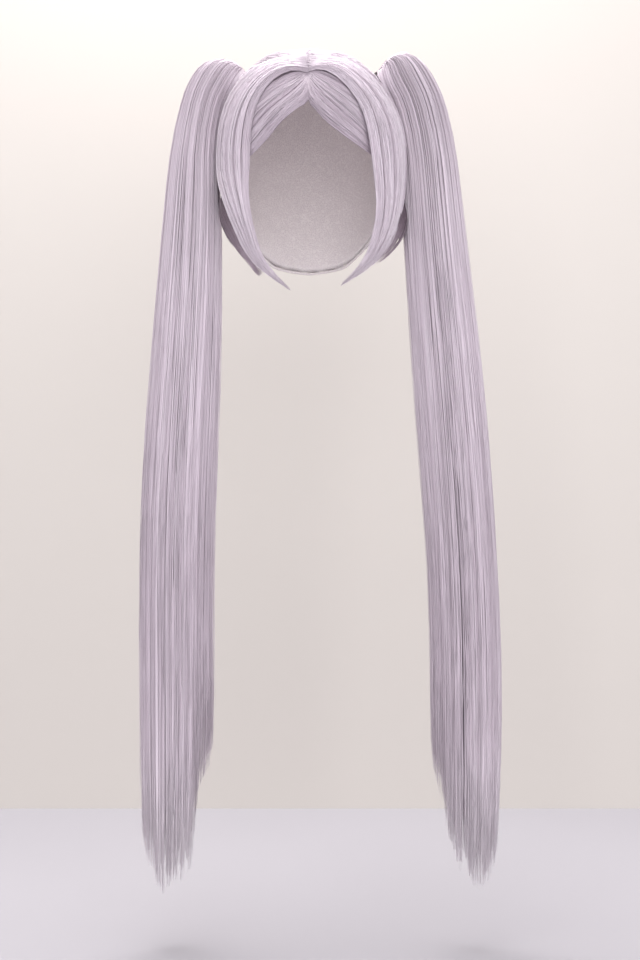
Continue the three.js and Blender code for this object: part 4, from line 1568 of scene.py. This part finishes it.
@dataclass
class Board:
    """Adds and links nodes in one node tree.

    Attributes:
        tree: the tree of a material or of a node group.
    """

    tree: bpy.types.NodeTree

    def node(self, kind: str, **settings: object) -> bpy.types.Node:
        """Adds a node and sets its own properties."""
        made = self.tree.nodes.new(kind)
        for name, value in settings.items():
            setattr(made, name, value)
        return made

    def feed(self, node: bpy.types.Node, **values: object) -> bpy.types.Node:
        """Sets or links a node's inputs, named in small letters with underscores for spaces."""
        for name, value in values.items():
            socket = next(s for s in node.inputs if s.name.lower().replace(" ", "_") == name and s.enabled)
            self.put(socket, value)
        return node

    def put(self, socket: Socket, value: object) -> None:
        """Links a socket to another, or sets its value."""
        if isinstance(value, bpy.types.NodeSocket):
            self.tree.links.new(value, socket)
        else:
            socket.default_value = value

    def math(self, operation: str, first: object, second: object = 0.0) -> Socket:
        """The result of a sum on two values."""
        node = self.node("ShaderNodeMath", operation=operation)
        self.put(node.inputs[0], first)
        self.put(node.inputs[1], second)
        return node.outputs[0]

    def blend(self, share: object, low: object, high: object, how: str = "MIX") -> Socket:
        """A colour between two colours."""
        node = self.node("ShaderNodeMix", data_type="RGBA", blend_type=how)
        self.put(node.inputs[0], share)
        self.put(node.inputs[6], low)
        self.put(node.inputs[7], high)
        return node.outputs[2]

    def parts_of(self, name: str) -> tuple[Socket, Socket, Socket]:
        """The three numbers that the mesh holds under a name."""
        read = self.node("ShaderNodeAttribute", attribute_name=name)
        split = self.node("ShaderNodeSeparateXYZ")
        self.tree.links.new(read.outputs["Vector"], split.inputs[0])
        return split.outputs[0], split.outputs[1], split.outputs[2]


# How fine the streaks are: across the hair and along it, per metre, and from strand to strand.
STREAK_SCALES = (4200.0, 22.0, 9.0)


def combed_fibre() -> bpy.types.NodeTree:
    """The streaks of combed fibre, with painted shade and painted light: a group that the hair finishes
    share.

    Returns:
        The group. It paints light on a strand where its shade is below 0, and paints shade above 0.
    """
    name = "combed fibre"
    if name in bpy.data.node_groups:
        return bpy.data.node_groups[name]
    group = bpy.data.node_groups.new(name, "ShaderNodeTree")
    for label, kind in (
        ("Deep", "NodeSocketColor"),
        ("Middle", "NodeSocketColor"),
        ("Bright", "NodeSocketColor"),
        ("Shadow", "NodeSocketColor"),
        ("Roughness", "NodeSocketFloat"),
    ):
        group.interface.new_socket(label, in_out="INPUT", socket_type=kind)
    for label, kind in (
        ("Color", "NodeSocketColor"),
        ("Roughness", "NodeSocketFloat"),
        ("Height", "NodeSocketFloat"),
    ):
        group.interface.new_socket(label, in_out="OUTPUT", socket_type=kind)
    board = Board(group)
    given = board.node("NodeGroupInput")
    result = board.node("NodeGroupOutput")
    tone, _, shade = board.parts_of("fibre")
    across_m, along_m, own = board.parts_of("flow")
    place = board.node("ShaderNodeCombineXYZ")
    for socket, part, scale in zip(place.inputs, (across_m, along_m, own), STREAK_SCALES):
        board.put(socket, board.math("MULTIPLY", part, scale))
    streaks = board.node("ShaderNodeTexNoise")
    board.feed(streaks, vector=place.outputs[0], scale=1.0, detail=3.0, roughness=0.6)
    streak = board.math("SUBTRACT", streaks.outputs[0], 0.5)
    level = board.math("ADD", tone, board.math("MULTIPLY", streak, 0.7))
    ramp_low = board.node("ShaderNodeMapRange", clamp=True)
    board.feed(ramp_low, value=level, from_min=0.0, from_max=0.5)
    ramp_high = board.node("ShaderNodeMapRange", clamp=True)
    board.feed(ramp_high, value=level, from_min=0.5, from_max=1.0)
    low = board.blend(ramp_low.outputs[0], given.outputs["Deep"], given.outputs["Middle"])
    lit = board.blend(ramp_high.outputs[0], low, given.outputs["Bright"])
    # Painted shade: a shade above 0 mixes the colour towards the shadow colour. Painted light: a shade
    # below 0, at thin ends, mixes it towards the bright colour.
    dark = board.math("MINIMUM", board.math("MAXIMUM", shade, 0.0), 1.0)
    light_through = board.math("MULTIPLY", shade, -1.0)
    painted_light = board.math("MINIMUM", board.math("MAXIMUM", light_through, 0.0), 1.0)
    shown = board.blend(painted_light, lit, given.outputs["Bright"])
    colour = board.blend(dark, shown, given.outputs["Shadow"])
    rough = board.math("ADD", given.outputs["Roughness"], board.math("MULTIPLY", streak, 0.25))
    board.put(result.inputs["Color"], colour)
    board.put(result.inputs["Roughness"], rough)
    board.put(result.inputs["Height"], streaks.outputs[0])
    return group


@dataclass(frozen=True)
class Finish(ABC):
    """A finish, made into one material however often it is asked for."""

    name: str

    def material(self) -> bpy.types.Material:
        """Makes the material, once."""
        if self.name in bpy.data.materials:
            return bpy.data.materials[self.name]
        made = bpy.data.materials.new(self.name)
        made.use_nodes = True
        made.node_tree.nodes.clear()
        board = Board(made.node_tree)
        output = board.node("ShaderNodeOutputMaterial")
        shader = board.node("ShaderNodeBsdfPrincipled")
        board.put(output.inputs[0], self.surface(board, shader))
        return made

    @abstractmethod
    def surface(self, board: Board, shader: bpy.types.Node) -> Socket:
        """Sets up the shader.

        Args:
            board: the material's nodes.
            shader: its Principled shader.

        Returns:
            What the surface shows.
        """


@dataclass(frozen=True)
class HairFinish(Finish):
    """Smooth synthetic fibre in one shade, with its streaks and soft gloss."""

    deep: tuple[int, int, int]
    middle: tuple[int, int, int]
    bright: tuple[int, int, int]
    shadow: tuple[int, int, int]
    roughness: float
    gloss: float

    def surface(self, board: Board, shader: bpy.types.Node) -> Socket:
        """Mixes the streaks of the fibre with its gloss."""
        streaks = board.node("ShaderNodeGroup", node_tree=combed_fibre())
        board.feed(
            streaks,
            deep=srgb(*self.deep),
            middle=srgb(*self.middle),
            bright=srgb(*self.bright),
            shadow=srgb(*self.shadow),
            roughness=self.roughness,
        )
        bump = board.node("ShaderNodeBump")
        board.feed(bump, height=streaks.outputs["Height"], strength=0.35, distance=0.0002)
        board.feed(
            shader,
            base_color=streaks.outputs["Color"],
            roughness=streaks.outputs["Roughness"],
            normal=bump.outputs[0],
            specular_ior_level=self.gloss,
            sheen_weight=0.12,
            sheen_roughness=0.4,
        )
        return shader.outputs[0]


@dataclass(frozen=True)
class NetFinish(Finish):
    """The cap's fine knitted net, and its plain stitching."""

    thread: tuple[int, int, int]
    hollow: tuple[int, int, int]
    mesh_size: float = 0.0016

    def surface(self, board: Board, shader: bpy.types.Node) -> Socket:
        """Draws the cells of the net."""
        coords = board.node("ShaderNodeTexCoord")
        cells = board.node("ShaderNodeTexVoronoi", feature="DISTANCE_TO_EDGE")
        board.feed(cells, vector=coords.outputs["Object"], scale=1 / self.mesh_size)
        thread = board.node("ShaderNodeMapRange", clamp=True)
        board.feed(thread, value=cells.outputs[0], from_min=0.04, from_max=0.22)
        wear = board.node("ShaderNodeTexNoise")
        board.feed(wear, vector=coords.outputs["Object"], scale=60.0, detail=4.0)
        hole = board.math("MULTIPLY", thread.outputs[0], 0.8)
        knit = board.blend(hole, srgb(*self.thread), srgb(*self.hollow))
        colour = board.blend(board.math("MULTIPLY", wear.outputs[0], 0.25), knit, srgb(*self.hollow))
        bump = board.node("ShaderNodeBump", invert=True)
        board.feed(bump, height=thread.outputs[0], strength=0.6, distance=0.0003)
        rough = board.math("ADD", 0.75, board.math("MULTIPLY", wear.outputs[0], 0.2))
        board.feed(shader, base_color=colour, roughness=rough, normal=bump.outputs[0])
        board.feed(shader, specular_ior_level=0.25)
        return shader.outputs[0]


@dataclass(frozen=True)
class ElasticFinish(Finish):
    """Dark knitted elastic cord, ribbed along its length."""

    cord: tuple[int, int, int]
    worn: tuple[int, int, int]
    rib: float = 0.0007

    def surface(self, board: Board, shader: bpy.types.Node) -> Socket:
        """Ribs the cord and adds its fuzz."""
        coords = board.node("ShaderNodeTexCoord")
        knit = board.node("ShaderNodeTexWave", wave_type="BANDS", bands_direction="DIAGONAL")
        board.feed(knit, vector=coords.outputs["Object"], scale=0.05 / self.rib, distortion=1.2)
        fuzz = board.node("ShaderNodeTexNoise")
        board.feed(fuzz, vector=coords.outputs["Object"], scale=900.0, detail=3.0)
        ridge = board.math("MULTIPLY", knit.outputs["Fac"], 0.6)
        height = board.math("ADD", ridge, board.math("MULTIPLY", fuzz.outputs[0], 0.5))
        # The cord is lighter where the ribs and the fuzz stand up.
        colour = board.blend(height, srgb(*self.cord), srgb(*self.worn))
        bump = board.node("ShaderNodeBump")
        board.feed(bump, height=height, strength=0.7, distance=0.0003)
        rough = board.math("ADD", 0.6, board.math("MULTIPLY", fuzz.outputs[0], 0.25))
        board.feed(shader, base_color=colour, roughness=rough, normal=bump.outputs[0])
        return shader.outputs[0]


PALE_HAIR = HairFinish(
    "pale lilac hair",
    deep=(190, 175, 186),
    middle=(224, 211, 221),
    bright=(246, 238, 244),
    shadow=(144, 126, 140),
    roughness=0.42,
    gloss=0.5,
)
# A darker copy of the pale hair: painted shade for the thin hair that hangs in shadow under the side
# locks.
SHADED_HAIR = HairFinish(
    "shaded under hair",
    deep=(150, 132, 144),
    middle=(190, 172, 184),
    bright=(218, 204, 212),
    shadow=(98, 80, 92),
    roughness=0.5,
    gloss=0.35,
)
NET = NetFinish("cap net", thread=(246, 239, 237), hollow=(216, 206, 208))
ELASTIC = ElasticFinish("elastic cord", cord=(30, 24, 27), worn=(74, 64, 68))


@dataclass(frozen=True)
class PlainFinish(Finish):
    """The matt paint of the floor or the backdrop, which shows from one side only if it says so."""

    colour: tuple[int, int, int]
    one_sided: bool = False

    def surface(self, board: Board, shader: bpy.types.Node) -> Socket:
        """Clouds the paint a little, and lets a view from behind through if it is one-sided."""
        coords = board.node("ShaderNodeTexCoord")
        cloud = board.node("ShaderNodeTexNoise")
        board.feed(cloud, vector=coords.outputs["Object"], scale=2.0, detail=2.0)
        tint = tuple(0.97 * part for part in srgb(*self.colour)[:3]) + (1.0,)
        board.feed(shader, base_color=board.blend(cloud.outputs[0], srgb(*self.colour), tint))
        board.feed(shader, roughness=0.85, specular_ior_level=0.2)
        if not self.one_sided:
            return shader.outputs[0]
        side = board.node("ShaderNodeNewGeometry")
        clear = board.node("ShaderNodeBsdfTransparent")
        either = board.node("ShaderNodeMixShader")
        board.put(either.inputs[0], side.outputs["Backfacing"])
        board.put(either.inputs[1], shader.outputs[0])
        board.put(either.inputs[2], clear.outputs[0])
        return either.outputs[0]


@dataclass(frozen=True)
class Lamp:
    """A square soft light that faces the middle of the wig.

    Attributes:
        name: its name.
        place: where it hangs, in metres.
        size: the length of its edge.
        power: watts.
        colour: its light, as shares of red, green and blue.
    """

    name: str
    place: tuple[float, float, float]
    size: float
    power: float
    colour: tuple[float, float, float]

    AIM = (0, 0, -0.3)

    def build(self) -> None:
        """Hangs the light and turns it to the wig."""
        data = bpy.data.lights.new(self.name, "AREA")
        data.shape = "SQUARE"
        data.size = self.size
        data.energy = self.power
        data.color = self.colour
        lamp = bpy.data.objects.new(self.name, data)
        lamp.location = self.place
        aim = Vector(self.AIM) - Vector(self.place)
        lamp.rotation_euler = aim.to_track_quat("-Z", "Y").to_euler()
        bpy.context.scene.collection.objects.link(lamp)


TOP_LIGHT = Lamp("top light", place=(-0.12, 0.18, 1.15), size=1.0, power=37.0, colour=(1.0, 0.985, 0.97))
FRONT_LIGHT = Lamp("front light", place=(0.3, -2.4, -0.1), size=2.4, power=53.0, colour=(0.99, 0.99, 1.0))
FLOOR_PAINT = PlainFinish("floor paint", (187, 184, 190))
WALL_PAINT = PlainFinish("wall paint", (212, 206, 200), one_sided=True)


@dataclass
class Studio:
    """The plain floor and backdrop, the soft lights and the camera.

    Attributes:
        floor_height: the height of the floor.
        backdrop_distance: how far the backdrop stands behind the wig's middle.
        camera_place: where the camera stands.
        lens: its focal length, in millimetres.
        sensor: the longer edge of its picture on the sensor, in millimetres.
        horizon_pixel: the picture's row at the camera's height, from the top.
        picture_height: the picture's rows.
        plane_size: the edge of the floor and of the backdrop.
        sky_colour: the light from all round.
        sky_strength: its strength.
    """

    floor_height: float = -0.852
    backdrop_distance: float = 0.54
    camera_place: tuple[float, float, float] = (0.0106, -1.28, -0.389)
    lens: float = 50.0
    sensor: float = 36.0
    horizon_pixel: float = 470.0
    picture_height: int = 960
    plane_size: float = 12.0
    sky_colour: tuple[float, float, float, float] = (0.95, 0.95, 1.0, 1.0)
    sky_strength: float = 0.62

    def plane(self, name: str, location: tuple, rotation: tuple, finish: PlainFinish) -> None:
        """Adds a large plane of the stage."""
        deselect_all()
        bpy.ops.mesh.primitive_plane_add(size=self.plane_size, location=location, rotation=rotation)
        sheet = bpy.context.active_object
        bpy.ops.object.transform_apply(location=True, rotation=True, scale=True)
        sheet.name = name
        sheet.data.materials.append(finish.material())

    def camera(self) -> None:
        """Places the camera at the photograph's angle."""
        data = bpy.data.cameras.new("camera")
        data.lens = self.lens
        data.sensor_width = self.sensor
        camera = bpy.data.objects.new("camera", data)
        camera.location = self.camera_place
        pixels = self.lens / self.sensor * self.picture_height
        tilt = math.atan((self.picture_height / 2 - self.horizon_pixel) / pixels)
        camera.rotation_euler = (math.pi / 2 - tilt, 0, 0)
        bpy.context.scene.collection.objects.link(camera)
        bpy.context.scene.camera = camera

    def build(self) -> None:
        """Sets the stage."""
        self.plane("floor", (0, 0, self.floor_height), (0, 0, 0), FLOOR_PAINT)
        self.plane("backdrop", (0, self.backdrop_distance, 0), (math.pi / 2, 0, 0), WALL_PAINT)
        TOP_LIGHT.build()
        FRONT_LIGHT.build()
        world = bpy.data.worlds.new("studio")
        world.use_nodes = True
        background = world.node_tree.nodes["Background"]
        background.inputs["Color"].default_value = self.sky_colour
        background.inputs["Strength"].default_value = self.sky_strength
        bpy.context.scene.world = world
        bpy.context.scene.view_settings.view_transform = "Standard"
        self.camera()


@dataclass
class Wig:
    """The whole wig, built part by part.

    Attributes:
        seats: where each tie stands.
        spreads: how far out from its tie each pigtail hangs.
        tucks: the share of each wisp that stays down under the side lock.
    """

    seats: dict[Side, TieSeat] = field(default_factory=lambda: {side: TieSeat(side) for side in Side})
    spreads: dict[Side, float] = field(
        default_factory=lambda: {Side.LEFT: 0.057, Side.RIGHT: 0.081}
    )
    tucks: dict[Side, float] = field(default_factory=lambda: {Side.LEFT: 0.05, Side.RIGHT: 0.2})

    def hair_on_cap(self, side: Side) -> None:
        """Builds the hair that lies on the cap on one side."""
        seat = self.seats[side]
        word = side.word
        base = 20 + side.value
        crown = DrawnHair(
            seat, f"crown_hair_{word}", CROWN_ROOTS, locks=9, count=820, seed=base
        )
        back = DrawnHair(
            seat, f"back_hair_{word}", BACK_ROOTS, locks=11, count=700, seed=base + 10, stations=13
        )
        fringe = Strip(
            side, f"fringe_{word}", FRINGES[side], LAYERS.under, LAYERS.under_hair,
            locks=9, count=460, stations=14, slot=Slot.HAIR, shade=(0.5, 0.2), thinning=0.0,
            tip_gather=0.0, core_end=1.0, seed=base + 20, grooves=0.3, fan_tilt=51,
            meets_parting=True,
        )
        lock = Strip(
            side, f"side_lock_{word}", SIDE_LOCKS[side], LAYERS.upper, LAYERS.side_lock,
            locks=5, count=640, stations=17, slot=Slot.HAIR, shade=(0.1, -0.12), thinning=0.26,
            tip_gather=0.35, core_end=0.84, seed=base + 30, grooves=0.7, meets_parting=True,
        )
        for piece in (crown, back, fringe, lock):
            dress(piece.build(), PALE_HAIR)
        wisp = Strip(
            side, f"under_wisp_{word}", UNDER_WISPS[side], LAYERS.under, LAYERS.under_hair,
            locks=7, count=520, stations=10, slot=Slot.SHADED_HAIR, shade=(1.0, -0.2),
            thinning=0.55, tip_gather=0.0, core_end=0.62, seed=base + 40,
            tucked=self.tucks[side], strays=0.05, grooves=0.3,
        )
        dress(wisp.build(), SHADED_HAIR)

    def build(self) -> None:
        """Builds every part and reports it."""
        for piece in Cap().build():
            dress(piece, NET)
        for side in Side:
            self.hair_on_cap(side)
            dress(HairTie(self.seats[side], f"hair_tie_{side.word}").build(), ELASTIC)
            tail = Pigtail(
                self.seats[side], f"pigtail_{side.word}", FOLDS[side], RUNS[side], ENDS[side],
                self.spreads[side], seed=60 + side.value,
            )
            dress(tail.build(), PALE_HAIR)


def dress(piece: bpy.types.Object, finish: Finish) -> None:
    """Gives a piece its finish and reports it.

    Args:
        piece: the object to dress.
        finish: what it is made of.
    """
    piece.data.materials.clear()
    piece.data.materials.append(finish.material())
    piece.data.calc_loop_triangles()
    LOG.info("%s: %d triangles, %s", piece.name, len(piece.data.loop_triangles), finish.name)


def main() -> None:
    """Builds the wig and its studio."""
    logging.basicConfig(level=logging.INFO, format="%(message)s")
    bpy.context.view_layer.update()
    Studio().build()
    Wig().build()


if __name__ == "__main__":
    main()
